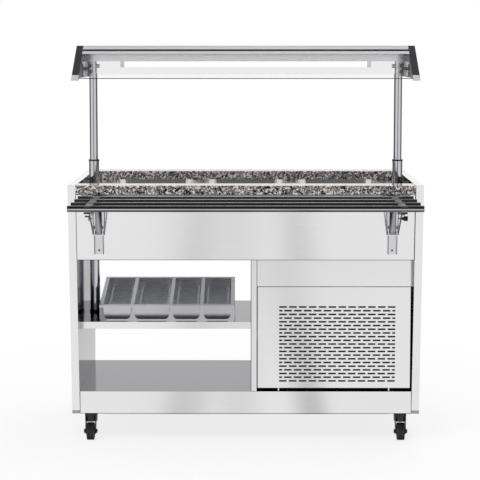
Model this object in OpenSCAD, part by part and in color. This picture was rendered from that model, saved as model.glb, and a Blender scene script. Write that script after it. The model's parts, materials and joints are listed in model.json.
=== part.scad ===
// Mobile refrigerated salad bar: a steel cabinet on casters with an open pass-through bay, a machine bay
// behind a slotted grille, a cold well for three food pans between two stone rails, a glazed canopy with
// a lamp on two telescopic posts, and a fold-down slide of four tubes for the guests' trays.
// Millimetres, +Z up, +X to the right as a guest sees it. The guest stands on the -Y side.
// The origin is on the floor, under the middle of the whole object's outline.

/* [Cabinet] */
// Width of the worktop plate beside the well, where the posts stand
side_room = 83.5; // [80:0.5:120]
// Depth at the worktop
body_d = 720; // [700:5:800]
// Depth at the foot of the side panels, which taper downwards
base_d = 560; // [540:5:660]
// Thickness of a side panel
panel_t = 26; // [20:1:32]
// Height of the cabinet's underside above the floor
base_h = 96; // [90:1:120]
// Height of the worktop
top_h = 882; // [860:1:920]
// Height of the plastic shoe under each side panel
shoe_h = 11; // [8:1:16]
// Thickness of the steel sheet
sheet = 1.5; // [1:0.1:2]
// Height of the front apron below the stone
apron_h = 222; // [210:1:240]

/* [Deck, shelf and divider] */
// Height of the bottom deck's fascia
fascia_h = 77; // [60:1:90]
// How far the deck stands in from the side panels' rear edges
deck_gap = 15; // [6:1:30]
// Height of the middle shelf's top
shelf_z = 402; // [360:1:440]
// Height of the middle shelf's folded edge
shelf_edge = 24; // [18:1:30]
// Depth of the middle shelf
shelf_d = 463; // [420:1:480]
// How far the middle shelf's front edge stands back from the deck's
shelf_setback = 60; // [40:1:80]
// Distance of the divider's left face to the right of the middle
divider_x = 18; // [0:1:60]
// Thickness of the divider
divider_t = 21; // [16:1:26]

/* [Machine bay panels] */
// Height of the small panel above the grille
upper_panel_h = 98; // [80:1:130]
// Gap under the grille panel, bridged by its two pegs
grille_gap = 12; // [6:1:14]
// Depth of the panels' folded edges
panel_fold = 15; // [12:1:24]
// Number of slot rows in the grille
slot_rows = 21; // [9:2:21]
// Slots in a long row
slots_in_row = 12; // [8:1:12]
// Length of a slot
slot_l = 27; // [20:0.5:29]
// Height of a slot
slot_h = 5.8; // [4:0.1:6]
// Distance between slots in a row
slot_pitch = 33.4; // [31:0.1:36]
// Distance between rows
row_pitch = 12.7; // [11:0.1:13]
// Height of the lowest row above the grille panel's lower edge
grille_margin = 24; // [20:1:40]

/* [Well and worktop] */
// Thickness of the stone rails
stone_t = 30; // [20:1:40]
// Outside length of a food pan's rim, front to back
pan_l = 530; // [530:1:530]
// Outside width of a food pan's rim
pan_w = 325; // [325:1:325]
// Number of food pans
pan_count = 3; // [3:1:3]
// Gap between neighbouring rims
pan_gap = 3; // [2:0.5:4]
// Depth of a food pan
pan_h = 100; // [65:5:130]
// Width of a pan's rim
pan_rim = 14; // [13:0.5:16]
// Steel thickness of a pan
pan_wall = 1; // [0.8:0.1:1.5]
// Depth of the cold well below the worktop plate
well_h = 165; // [150:1:170]
// Thickness of the foam round the well
foam_t = 26; // [20:1:28]
// Width of the bar between two pans
bar_w = 20; // [16:1:24]

/* [Telescopic posts] */
// Distance of a post's axis from the side panel
post_in = 29; // [27:1:31]
// Outside diameter of the moving upper tube
tube_d = 28; // [26:0.5:30]
// Outside diameter of the fixed sleeve
sleeve_d = 35; // [34:0.5:36]
// Wall of the tube and the sleeve
post_wall = 1.5; // [1:0.1:2]
// Height of the sleeve's top above the worktop
sleeve_up = 57; // [40:1:70]
// Length of upper tube that stays in the sleeve when the canopy is up
tube_grip = 119; // [100:1:140]
// Travel of the canopy
lift_travel = 285; // [200:5:285]

/* [Canopy] */
// Thickness of the head plate between a post and an end plate
head_t = 3; // [2:0.5:5]
// Depth at the lower edge
canopy_d = 720; // [680:5:740]
// Depth of the flat top
canopy_top_d = 326; // [280:1:360]
// Height of the canopy's lower edge above the worktop
canopy_clear = 346; // [340:1:380]
// Height of the canopy
canopy_h = 115; // [110:1:130]
// Thickness of an end plate
end_t = 23; // [18:1:24]
// Thickness of the glass
glass_t = 5; // [4:0.5:6]
// Height of the lamp housing
lamp_box_h = 26; // [22:1:30]
// Depth of the lamp housing
lamp_box_d = 90; // [70:1:120]
// Length of the lamp
lamp_l = 849; // [600:1:900]
// Diameter of the lamp
lamp_d = 16; // [14:1:20]

/* [Tray slide] */
// Length of the four tubes
rail_l = 1100; // [1040:10:1100]
// Diameter of the four tubes
rail_d = 20; // [18:1:22]
// Distance of the first tube from the apron
rail_first = 52; // [48:1:56]
// Distance between tubes
rail_pitch = 106.3; // [100:0.1:110]
// Distance of each bracket from the middle
bracket_x = 488; // [450:1:500]
// Width of the wall bracket
bracket_w = 31; // [29:1:34]
// Height of the wall bracket below the arm's hinge
bracket_h = 189; // [180:1:200]
// Height of the stay's pivot below the arm's hinge
stay_drop = 118; // [110:1:126]
// Distance of the stay's top pin in front of the hinge
stay_reach = 60; // [50:1:70]

/* [Casters] */
// Diameter of a wheel
wheel_d = 60; // [50:1:62]
// Width of a wheel's tread
wheel_w = 25; // [20:1:27]
// Distance of the wheel's axle from the swivel axis
trail = 22; // [16:1:24]
// Distance of a caster's swivel axis from the side of the cabinet
caster_in = 60; // [50:1:70]

/* [Cutlery insert] */
// Width of the insert
insert_w = 464; // [440:1:480]
// Length of the insert along its slope
insert_l = 300; // [270:1:310]
// Angle of the insert's slope
insert_tilt = 11; // [8:1:12]
// Depth of a compartment
insert_h = 54; // [45:1:60]

/* [Hidden] */
$fn = 48;

// Clearances
run = 0.06;     // radial clearance of a turning or sliding fit
slip = 0.3;     // gap between pieces that slot together
eps = 1;        // how far a cutter runs past the face that it opens

// Colours
steel = [0.82, 0.83, 0.84];
bright = [0.72, 0.72, 0.76];
black = [0.06, 0.06, 0.06];
charcoal = [0.27, 0.25, 0.27];

// Pans and the well set the cabinet's width
pan_pitch = pan_w + pan_gap;
pan_span = pan_count * pan_pitch;
pan_body_w = pan_w - 2 * pan_rim;
pan_body_l = pan_l - 2 * pan_rim;
ledge = pan_rim - 3;
well_x = pan_span / 2 - pan_gap / 2 - ledge + 1;
well_y = pan_l / 2 - ledge;

// Cabinet
in_x = well_x + side_room;
body_w = 2 * (in_x + panel_t);
deck_z = base_h + fascia_h;
plate_z = top_h - stone_t;
apron_top = plate_z - sheet;
apron_z = plate_z - apron_h;
ceiling_z = apron_z + sheet;
seam_z = apron_z - upper_panel_h;
lean = atan((body_d - base_d) / 2 / (top_h - base_h));
function half_d(z) = body_d / 2 - (body_d - base_d) / 2 * (top_h - z) / (top_h - base_h);
deck_front = -base_d / 2;
deck_back = base_d / 2 - deck_gap;
deck_d = deck_back - deck_front;
shelf_front = deck_front + shelf_setback;
bay_front = deck_front + 2;
machine_x0 = divider_x + divider_t;
grille_x0 = machine_x0 + 2;
grille_x1 = in_x - 6;
grille_z0 = deck_z + grille_gap;
grille_mid = (grille_x0 + grille_x1) / 2 + 11;
beam_w = 68;
beam_wall = 2;

// Well and stone
well_z = plate_z - well_h;
well_r = 4;
bar_h = 15;
stone_d = body_d / 2 - pan_l / 2 - 2;
foam_z = well_z - sheet - foam_t;

// Posts
post_x = in_x - post_in;
sleeve_top = top_h + sleeve_up;
foot_h = 8;
ring_h = 5;
tube_z0 = sleeve_top - tube_grip;
canopy_z = top_h + canopy_clear;
canopy_top = canopy_z + canopy_h;
lamp_box_z = canopy_top - 30 - lamp_box_h;
post_top = lamp_box_z;
function canopy_half(z) = canopy_d / 2 - (canopy_d - canopy_top_d) / 2 * (z - canopy_z) / canopy_h;
canopy_in = post_x + tube_d / 2 + head_t;
canopy_slope = atan(canopy_h / ((canopy_d - canopy_top_d) / 2));
corner_h = 18;
head_z = canopy_z + 6;
wing_y = -125;
wing_z = canopy_z + 34;
wing_r = 3;
top_profile_h = 28;
top_profile_d = 26;
gasket = 6;

// Tray slide
rail_z = plate_z - rail_d / 2;
rail_y0 = -half_d(plate_z) - rail_first;
rail_count = 4;
hinge_z = rail_z - 2;
hinge_out = 17;
hinge_y = -half_d(hinge_z) - hinge_out;
arm_w = 20;
arm_wall = 2;
arm_top = plate_z - 2.5;
arm_low = rail_z - rail_d / 2 - 3;
arm_front = rail_y0 - (rail_count - 1) * rail_pitch - 8;
pivot_r = 4;
bracket_base = 3;
bracket_flange = 3;
stay_z = hinge_z - stay_drop;
stay_y = -half_d(stay_z) - bracket_base - pivot_r - 1;
stay_pin_z = arm_low - pivot_r - slip;
stay_pin_y = hinge_y - stay_reach;
stay_foot_x = bracket_w / 2 + 1.5;
stay_head_x = stay_foot_x + 9;
stay_t = 3;
stay_w = 6;
stay_l = sqrt(pow(stay_pin_y - stay_y, 2) + pow(stay_pin_z - stay_z, 2));
stay_a = atan2(stay_y - stay_pin_y, stay_pin_z - stay_z);
latch_along = 0.53;
latch_y = stay_y + (stay_pin_y - stay_y) * latch_along;
latch_z = stay_z + (stay_pin_z - stay_z) * latch_along;
latch_face = stay_foot_x + stay_t + (stay_head_x - stay_foot_x) * latch_along;
latch_gap = slip + 1.2;
latch_r = 2.5;
latch_stem = stay_t + 6;
bracket_z0 = hinge_z - bracket_h;

// Casters
caster_x = body_w / 2 - caster_in;
caster_y = base_d / 2 - 45;
king_r = 5;
axle_r = 4;
fork_in = wheel_w / 2 + 2.5;
fork_t = 3;
race_z = base_h - 8;

// The whole object reaches further to the front than to the back, so its middle isn't the cabinet's
front_reach = -rail_y0 + (rail_count - 1) * rail_pitch + rail_d / 2;
mid_y = (front_reach - body_d / 2) / 2;

module in_frame() {
    translate([0, mid_y, 0]) children();
}

// A plate cut in the YZ plane, from x0 to x0 + t
module plate_yz(x0, t, points) {
    translate([x0, 0, 0]) rotate([90, 0, 90]) linear_extrude(t) polygon(points);
}

// A rectangle with round corners, without hull, so that its corners stay true arcs
module round_rect(w, d, r) {
    square([w - 2 * r, d], center = true);
    square([w, d - 2 * r], center = true);
    for (x = [-1, 1], y = [-1, 1]) translate([x * (w / 2 - r), y * (d / 2 - r)]) circle(r);
}

// A cylinder along X from x0 to x1
module rod_x(x0, x1, r) {
    translate([min(x0, x1), 0, 0]) rotate([0, 90, 0]) cylinder(h = abs(x1 - x0), r = r);
}

// A cylinder along Y from y0 to y1
module rod_y(y0, y1, r) {
    translate([0, max(y0, y1), 0]) rotate([90, 0, 0]) cylinder(h = abs(y1 - y0), r = r);
}

module both_sides() {
    children();
    mirror([1, 0, 0]) children();
}

module front_and_back() {
    children();
    mirror([0, 1, 0]) children();
}

// ---- Cabinet ----

panel_z0 = base_h + shoe_h;
skin = 1.2;

module side_panel() {
    fold = skin / cos(lean);
    difference() {
        plate_yz(in_x, panel_t, [
            [-half_d(panel_z0), panel_z0], [half_d(panel_z0), panel_z0],
            [half_d(top_h), top_h], [-half_d(top_h), top_h]]);
        plate_yz(in_x + skin, panel_t - 2 * skin, [
            [-half_d(panel_z0 - eps) + fold, panel_z0 - eps], [half_d(panel_z0 - eps) - fold, panel_z0 - eps],
            [half_d(top_h - skin) - fold, top_h - skin], [-half_d(top_h - skin) + fold, top_h - skin]]);
    }
}

// An angle welded to the right side panel, which carries the right post at the shelf's height
module post_ledge() {
    w = 62;
    t = 3;
    translate([in_x - w, -w / 2, shelf_z - t]) cube([w, w, t]);
    translate([in_x - t, -w / 2, shelf_z - w]) cube([t, w, w]);
}

module left_side_panel() {
    color(steel) in_frame() mirror([1, 0, 0]) side_panel();
}

module right_side_panel() {
    color(steel) in_frame() union() {
        side_panel();
        post_ledge();
    }
}

module side_panel_shoes() {
    plug_h = 8;
    plug_in = 2;
    color(bright) in_frame() both_sides() union() {
        plate_yz(in_x, panel_t, [
            [-half_d(base_h), base_h], [half_d(base_h), base_h],
            [half_d(panel_z0), panel_z0], [-half_d(panel_z0), panel_z0]]);
        translate([in_x + plug_in, -half_d(panel_z0) + 2 * plug_in, panel_z0 - eps])
            cube([panel_t - 2 * plug_in, 2 * half_d(panel_z0) - 4 * plug_in, plug_h + eps]);
    }
}

// A sheet tray turned upside down, with its front and rear edges folded down and back in
module folded_tray(x0, x1, y0, y1, top, edge, hem) {
    translate([x0, y0, top - sheet]) cube([x1 - x0, y1 - y0, sheet]);
    for (side = [[y0, 0], [y1, 1]]) {
        translate([x0, side[0] - side[1] * sheet, top - edge]) cube([x1 - x0, sheet, edge]);
        translate([x0, side[0] - side[1] * hem, top - edge]) cube([x1 - x0, hem, sheet]);
    }
}

// The deck with the two box beams that carry the casters welded under it
module deck() {
    hem = 22;
    lip_w = 2 * (in_x - 83);
    lip_h = 3.5;
    color(steel) in_frame() union() {
        folded_tray(-in_x, in_x, deck_front, deck_back, deck_z, fascia_h, hem);
        translate([-lip_w / 2, deck_front + 4, base_h - lip_h]) cube([lip_w, 10, lip_h + sheet]);
        both_sides() translate([caster_x - beam_w / 2, deck_front + sheet, base_h]) difference() {
            cube([beam_w, deck_d - 2 * sheet, fascia_h - sheet]);
            translate([beam_wall, -eps, beam_wall])
                cube([beam_w - 2 * beam_wall, deck_d + 2 * eps, fascia_h - sheet - 2 * beam_wall]);
        }
    }
}

module mid_shelf() {
    color(steel) in_frame()
        folded_tray(-in_x, divider_x, shelf_front, shelf_front + shelf_d, shelf_z, shelf_edge, 14);
}

module divider() {
    color(steel) in_frame() difference() {
        translate([divider_x, bay_front, deck_z])
            cube([divider_t, deck_back - bay_front, ceiling_z - deck_z]);
        translate([divider_x + skin, bay_front + skin, deck_z + skin])
            cube([divider_t - 2 * skin, deck_back - bay_front - 2 * skin, ceiling_z - deck_z]);
    }
}

// An apron leans with the side panels' edges; its top is folded inwards, and its bottom up to fold_y
module apron(fold_y) {
    top_fold = 30;
    y1 = half_d(apron_top);
    y0 = half_d(apron_z);
    plate_yz(-in_x, 2 * in_x, [
        [y1, apron_top], [y1 - top_fold, apron_top], [y1 - top_fold, apron_top - sheet],
        [y1 - 1.1 * sheet, apron_top - sheet], [y0 - sheet, apron_z + sheet],
        [fold_y, apron_z + sheet], [fold_y, apron_z], [y0, apron_z]]);
}

module front_apron() {
    color(steel) in_frame() mirror([0, 1, 0]) apron(16 - bay_front);
}

// Controls: a black panel in the rear apron, over the machine bay
control_x = in_x - 114;
control_z = plate_z - 147;
control_w = 150;
control_h = 70;
control_flange = 3;
control_depth = 26;

// Places its children on the rear apron, with local +Y straight out of the sheet
module on_rear_apron(x, z) {
    translate([x, half_d(z), z]) rotate([-lean, 0, 0]) children();
}

module rear_apron() {
    color(steel) in_frame() difference() {
        apron(deck_back + 29);
        on_rear_apron(control_x, control_z)
            cube([control_w - 8, 20, control_h - 8], center = true);
    }
}

// Closes the cabinet above both bays and lies on the aprons' lower folds
module bay_ceiling() {
    y = half_d(apron_z) - 6;
    color(steel) in_frame() difference() {
        translate([-in_x, -y, ceiling_z]) cube([2 * in_x, 2 * y, sheet]);
        for (x = [-post_x, post_x])
            translate([x, 0, ceiling_z - eps]) cylinder(h = sheet + 2 * eps, r = sleeve_d / 2 + slip);
        translate([drain_x, 0, ceiling_z - eps]) cylinder(h = sheet + 2 * eps, r = drain_r + 2);
    }
}

// A flat panel with its four edges folded back, from y0 towards +Y
module folded_panel(x0, x1, z0, z1, y0) {
    difference() {
        translate([x0, y0, z0]) cube([x1 - x0, panel_fold, z1 - z0]);
        translate([x0 + sheet, y0 + sheet, z0 + sheet])
            cube([x1 - x0 - 2 * sheet, panel_fold, z1 - z0 - 2 * sheet]);
    }
}

module machine_upper_panel() {
    color(steel) in_frame() folded_panel(machine_x0, in_x, seam_z + 1, ceiling_z, bay_front);
}

module slot_2d(l) {
    square([l - slot_h, slot_h], center = true);
    for (x = [-1, 1]) translate([x * (l - slot_h) / 2, 0]) circle(slot_h / 2, $fn = 16);
}

// Long rows hold every slot; the rows between are shifted half a pitch and end in two short slots
module slot_field() {
    short_l = 11.7;
    half_row = (slots_in_row - 1) * slot_pitch / 2;
    for (row = [0 : slot_rows - 1]) translate([0, row * row_pitch]) {
        shift = row % 2;
        for (i = [0 : slots_in_row - 1 - shift])
            translate([(i + shift / 2) * slot_pitch - half_row, 0]) slot_2d(slot_l);
        if (shift == 1) for (x = [-1, 1])
            translate([x * (half_row + slot_l / 2 - short_l / 2), 0]) slot_2d(short_l);
    }
}

module grille_panel() {
    peg_r = 3;
    peg_x = 187.5;
    color(steel) in_frame() union() {
        difference() {
            folded_panel(grille_x0, grille_x1, grille_z0, seam_z - 1, bay_front);
            translate([grille_mid, bay_front + sheet + eps, grille_z0 + grille_margin])
                rotate([90, 0, 0]) linear_extrude(sheet + 2 * eps) slot_field();
        }
        for (x = [-1, 1]) translate([(grille_x0 + grille_x1) / 2 + x * peg_x, bay_front + panel_fold / 2, deck_z])
            cylinder(h = grille_gap + 1, r = peg_r);
    }
}

inlet_x = machine_x0 + 291;
inlet_z = 225;
inlet_w = 30;
inlet_h = 24;

// The louvred cover over the back of the machine bay
module rear_service_panel() {
    louvre_rows = 12;
    louvre_w = 150;
    louvre_h = 6;
    louvre_pitch = 20;
    color(steel) in_frame() difference() {
        mirror([0, 1, 0]) folded_panel(machine_x0, in_x, deck_z, ceiling_z, -deck_back);
        for (i = [0 : louvre_rows - 1], x = [-1, 1])
            translate([grille_mid - 11 + x * 110 - louvre_w / 2, deck_back - 5, seam_z - 202 + i * louvre_pitch])
                cube([louvre_w, 10, louvre_h]);
        translate([inlet_x - inlet_w / 2, deck_back - 5, inlet_z - inlet_h / 2])
            cube([inlet_w, 10, inlet_h]);
    }
}

// ---- Cold well ----

drain_x = machine_x0 + 261;
drain_r = 14;
drain_wall = 3;

module well_liner() {
    lug = 10;
    rim_y = half_d(plate_z) - 2;
    seam = 0.04;
    color(steel) in_frame() difference() {
        union() {
            translate([-in_x, -rim_y, apron_top]) cube([2 * in_x, 2 * rim_y, sheet]);
            difference() {
                translate([0, 0, well_z - sheet]) linear_extrude(well_h)
                    round_rect(2 * well_x + 2 * sheet, 2 * well_y + 2 * sheet, well_r + sheet);
                translate([0, 0, well_z - sheet - eps]) linear_extrude(well_h + 2 * eps)
                    round_rect(2 * well_x, 2 * well_y, well_r);
            }
            translate([0, 0, well_z - sheet]) linear_extrude(sheet)
                round_rect(2 * well_x - 2 * seam, 2 * well_y - 2 * seam, well_r - seam);
            front_and_back() for (x = [-1, 1])
                translate([x * pan_pitch / 2 - bar_w / 2, well_y - lug, plate_z - bar_h - 3])
                    cube([bar_w, lug + sheet / 2, 3]);
        }
        translate([0, 0, plate_z - sheet - eps]) linear_extrude(sheet + 2 * eps)
            round_rect(2 * well_x, 2 * well_y, well_r);
        for (x = [-post_x, post_x])
            translate([x, 0, apron_top - eps]) cylinder(h = sheet + 2 * eps, r = sleeve_d / 2 + slip);
        translate([drain_x, 0, well_z - sheet - eps]) cylinder(h = sheet + 2 * eps, r = drain_r + slip);
    }
}

module well_insulation() {
    x = well_x + sheet;
    y = well_y + sheet;
    color([0.93, 0.88, 0.7]) in_frame() difference() {
        translate([-x - foam_t, -y - foam_t, foam_z])
            cube([2 * (x + foam_t), 2 * (y + foam_t), apron_top - 20 - foam_z]);
        translate([-x, -y, well_z - sheet]) cube([2 * x, 2 * y, well_h]);
        translate([drain_x, 0, foam_z - eps]) cylinder(h = foam_t + 2 * eps, r = drain_r + 1);
    }
}

// Two folded bars that carry the rims between neighbouring pans
module pan_bars() {
    color(steel) in_frame() for (x = [-1, 1]) translate([x * pan_pitch / 2, 0, plate_z - bar_h])
        difference() {
            translate([-bar_w / 2, -well_y + slip, 0]) cube([bar_w, 2 * (well_y - slip), bar_h]);
            translate([-bar_w / 2 + sheet, -well_y, -eps])
                cube([bar_w - 2 * sheet, 2 * well_y, bar_h - sheet + eps]);
        }
}

// Polished stone in front of and behind the pans, with its upper edges eased
module stone_rails() {
    ease = 2.5;
    y0 = body_d / 2 - stone_d;
    y1 = body_d / 2;
    color([0.75, 0.7, 0.68]) in_frame() front_and_back() plate_yz(-in_x, 2 * in_x, [
        [y0, plate_z], [y1, plate_z], [y1, top_h - ease], [y1 - ease, top_h],
        [y0 + ease, top_h], [y0, top_h - ease]]);
}

// One food pan: a tapered tub under a flat rim
module food_pan(x) {
    taper = 12;
    corner = 40;
    module slice(inset, z, t) {
        translate([0, 0, z]) linear_extrude(0.01)
            round_rect(pan_body_w - 2 * inset - 2 * t, pan_body_l - 2 * inset - 2 * t, corner - t, $fn = 32);
    }
    color(steel) in_frame() translate([x, 0, plate_z]) difference() {
        union() {
            linear_extrude(pan_wall) round_rect(pan_w, pan_l, 20);
            hull() {
                slice(0, 0.5, 0);
                slice(taper, -pan_h, 0);
            }
        }
        hull() {
            slice(0, pan_wall + eps, pan_wall);
            slice(taper, -pan_h + pan_wall, pan_wall);
        }
    }
}

module food_pan_left() {
    food_pan(-pan_pitch);
}

module food_pan_middle() {
    food_pan(0);
}

module food_pan_right() {
    food_pan(pan_pitch);
}

// ---- Posts ----

module post_sleeves() {
    color(bright) in_frame() for (x = [-post_x, post_x]) translate([x, 0, shelf_z + 3]) difference() {
        cylinder(h = sleeve_top - shelf_z - 3, r = sleeve_d / 2);
        translate([0, 0, -eps])
            cylinder(h = sleeve_top - shelf_z + 2 * eps, r = sleeve_d / 2 - post_wall);
    }
}

module post_guide_rings() {
    spigot = 18;
    color(black) in_frame() for (x = [-post_x, post_x]) translate([x, 0, sleeve_top]) difference() {
        union() {
            cylinder(h = ring_h, r = sleeve_d / 2 + 1.5);
            translate([0, 0, -spigot]) cylinder(h = spigot + eps, r = sleeve_d / 2 - post_wall - 0.1);
        }
        translate([0, 0, -spigot - eps])
            cylinder(h = spigot + ring_h + 2 * eps, r = tube_d / 2 + run);
    }
}

module sleeve_feet() {
    color(black) in_frame() for (x = [-post_x, post_x]) translate([x, 0, shelf_z]) difference() {
        cylinder(h = foot_h, r = sleeve_d / 2 + 2);
        translate([0, 0, 3]) cylinder(h = foot_h, r = sleeve_d / 2 + 0.1);
    }
}

// Both upper tubes, each with its welded head plate against a canopy end plate and a screw head
module canopy_posts() {
    plate_h = post_top - head_z;
    head_r = 6.5;
    front = canopy_half(post_top) - glass_t / sin(canopy_slope) - 4;
    color(bright) in_frame() both_sides() difference() {
        union() {
            translate([post_x, 0, tube_z0]) cylinder(h = post_top - tube_z0, r = tube_d / 2);
            plate_yz(canopy_in - head_t, head_t, [
                [-front, post_top], [20 - front, head_z + 30], [65 - front, head_z], [22, head_z],
                [30, head_z + 8], [30, post_top]]);
            translate([post_x, -4, head_z]) cube([canopy_in - post_x, 8, plate_h]);
            translate([0, 0, post_top - 17]) rod_x(post_x - tube_d / 2 - 9, post_x, head_r);
        }
        translate([post_x, 0, tube_z0 - eps])
            cylinder(h = head_z - tube_z0, r = tube_d / 2 - post_wall);
        translate([0, wing_y, wing_z]) rod_x(canopy_in - head_t - eps, canopy_in + eps, wing_r + run);
    }
}

// ---- Canopy ----

module canopy_end_plates() {
    inset = 36;
    z1 = canopy_z + corner_h;
    color(charcoal) in_frame() both_sides() difference() {
        plate_yz(canopy_in, end_t, [
            [-canopy_half(canopy_z) + inset, canopy_z + 6], [canopy_half(canopy_z) - inset, canopy_z + 6],
            [canopy_half(canopy_z) - inset, z1], [canopy_half(z1), z1],
            [canopy_half(canopy_top), canopy_top], [-canopy_half(canopy_top), canopy_top],
            [-canopy_half(z1), z1], [-canopy_half(canopy_z) + inset, z1]]);
        translate([0, wing_y, wing_z]) rod_x(canopy_in - eps, canopy_in + 15, wing_r + run);
    }
}

module canopy_corner_blocks() {
    inset = 36;
    z1 = canopy_z + corner_h;
    y = canopy_half(canopy_z);
    color(steel) in_frame() both_sides() front_and_back() plate_yz(canopy_in, end_t, [
        [y - inset, canopy_z], [y, canopy_z], [canopy_half(z1), z1], [y - inset, z1]]);
}

// A pane from the corner blocks up to the top profile, on the outside of the canopy's slope
pane_z0 = canopy_z + 6;
pane_z1 = canopy_top - top_profile_h;
pane_rise = glass_t / cos(canopy_slope);

module pane() {
    plate_yz(-canopy_in, 2 * canopy_in, [
        [canopy_half(pane_z0), pane_z0], [canopy_half(pane_z1), pane_z1],
        [canopy_half(pane_z1) - glass_t / sin(canopy_slope), pane_z1],
        [canopy_half(pane_z0) - glass_t / sin(canopy_slope), pane_z0]]);
}

module front_glass() {
    color([0.8, 0.9, 0.9, 0.35]) in_frame() mirror([0, 1, 0]) pane();
}

module rear_glass() {
    color([0.8, 0.9, 0.9, 0.35]) in_frame() pane();
}

// The profile follows the slope outside and is square inside; a groove holds the black gasket
profile_y1 = canopy_half(canopy_top);
profile_y0 = canopy_half(canopy_top - top_profile_h);
profile_in = profile_y1 - top_profile_d;
groove_z = canopy_top - 15.5;

module canopy_top_profiles() {
    color(steel) in_frame() front_and_back() plate_yz(-canopy_in, 2 * canopy_in, [
        [profile_in, canopy_top - sheet], [profile_in, pane_z1], [profile_y0, pane_z1],
        [canopy_half(groove_z - gasket / 2), groove_z - gasket / 2],
        [canopy_half(groove_z) - gasket, groove_z - gasket / 2],
        [canopy_half(groove_z) - gasket, groove_z + gasket / 2],
        [canopy_half(groove_z + gasket / 2), groove_z + gasket / 2],
        [canopy_half(canopy_top - sheet), canopy_top - sheet]]);
}

module canopy_gaskets() {
    color(black) in_frame() front_and_back() plate_yz(-canopy_in, 2 * canopy_in, [
        [canopy_half(groove_z) - gasket, groove_z - gasket / 2],
        [canopy_half(groove_z - gasket / 2), groove_z - gasket / 2],
        [canopy_half(groove_z + gasket / 2), groove_z + gasket / 2],
        [canopy_half(groove_z) - gasket, groove_z + gasket / 2]]);
}

module canopy_top_panel() {
    y = canopy_half(canopy_top - sheet);
    color(steel) in_frame() translate([-canopy_in, -y, canopy_top - sheet])
        cube([2 * canopy_in, 2 * y, sheet]);
}

socket_d = 22;
socket_w = 14;
lamp_z = lamp_box_z - socket_d / 2;

// The lamp housing hangs between the end plates; two sockets under it hold the lamp
module lamp_housing() {
    wall = 1.2;
    color(steel) in_frame() union() {
        difference() {
            translate([-canopy_in, -lamp_box_d / 2, lamp_box_z])
                cube([2 * canopy_in, lamp_box_d, lamp_box_h]);
            translate([-canopy_in - eps, -lamp_box_d / 2 + wall, lamp_box_z + wall])
                cube([2 * canopy_in + 2 * eps, lamp_box_d - 2 * wall, lamp_box_h]);
        }
        both_sides() translate([lamp_l / 2, -socket_d / 2, lamp_box_z - socket_d])
            cube([socket_w, socket_d, socket_d + wall]);
    }
}

module lamp_tube() {
    cap_l = 12;
    color([1, 0.93, 0.75]) in_frame() translate([0, 0, lamp_z]) union() {
        rod_x(-lamp_l / 2 + cap_l, lamp_l / 2 - cap_l, lamp_d / 2);
        both_sides() rod_x(lamp_l / 2 - cap_l - eps, lamp_l / 2, lamp_d / 2 + 0.5);
    }
}

// A wing screw: its stem runs through the head plate into the end plate; its wings lie along its axis
module wing_screw() {
    boss_r = 6;
    boss_l = 15;
    lobe_r = 7.5;
    lobe_at = 11;
    thick = 4;
    color(black) in_frame() translate([canopy_in - head_t - slip, wing_y, wing_z]) rotate([20, 0, 0])
        union() {
            rod_x(-boss_l, 0, boss_r);
            rod_x(-boss_l, head_t + slip + 14, wing_r);
            for (z = [-1, 1]) translate([-boss_l + 1, 0, z * lobe_at]) rod_y(-thick / 2, thick / 2, lobe_r);
            translate([-boss_l, -thick / 2, -lobe_at]) cube([boss_r, thick, 2 * lobe_at]);
        }
}

module left_wing_screw() {
    mirror([1, 0, 0]) wing_screw();
}

module right_wing_screw() {
    wing_screw();
}

// ---- Tray slide ----

module tray_tubes() {
    color(bright) in_frame() for (i = [0 : rail_count - 1])
        translate([0, rail_y0 - i * rail_pitch, rail_z]) difference() {
            rod_x(-rail_l / 2, rail_l / 2, rail_d / 2);
            rod_x(-rail_l / 2 + 3, rail_l / 2 + eps, rail_d / 2 - 1);
        }
}

// The wall bracket: a channel on the leaning apron, deep round the stay's pivot, with ears at the hinge
module wall_bracket() {
    deep = 15;
    low = bracket_base + 2;
    ear = 9;
    z0 = bracket_z0;
    z1 = stay_z + 16;
    z2 = hinge_z - 18;
    z3 = hinge_z + 8;
    difference() {
        union() {
            plate_yz(-bracket_w / 2, bracket_w, [
                [-half_d(z0), z0], [-half_d(z0) - bracket_base, z0],
                [-half_d(z3) - bracket_base, z3], [-half_d(z3), z3]]);
            for (x = [-bracket_w / 2, bracket_w / 2 - bracket_flange]) plate_yz(x, bracket_flange, [
                [-half_d(z0) - 1, z0], [-half_d(z0) - deep, z0], [-half_d(z1) - deep, z1],
                [-half_d(z1 + 10) - low, z1 + 10], [-half_d(z2) - low, z2],
                [hinge_y - ear / 2, hinge_z - ear], [hinge_y - ear, hinge_z - ear / 2],
                [hinge_y - ear, hinge_z + ear / 2], [hinge_y - ear / 2, z3], [-half_d(z3) - 1, z3]]);
        }
        translate([0, hinge_y, hinge_z]) rod_x(-bracket_w, bracket_w, pivot_r + run);
        translate([0, stay_y, stay_z]) rod_x(-bracket_w, bracket_w, pivot_r + run);
        for (z = [stay_z + 10, stay_z - 58]) translate([0, -half_d(z), z]) rotate([lean, 0, 0])
            rod_y(-2 * bracket_base, eps, 2.5);
    }
}

module tray_wall_brackets() {
    color(steel) in_frame() for (x = [-bracket_x, bracket_x]) translate([x, 0, 0]) wall_bracket();
}

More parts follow.
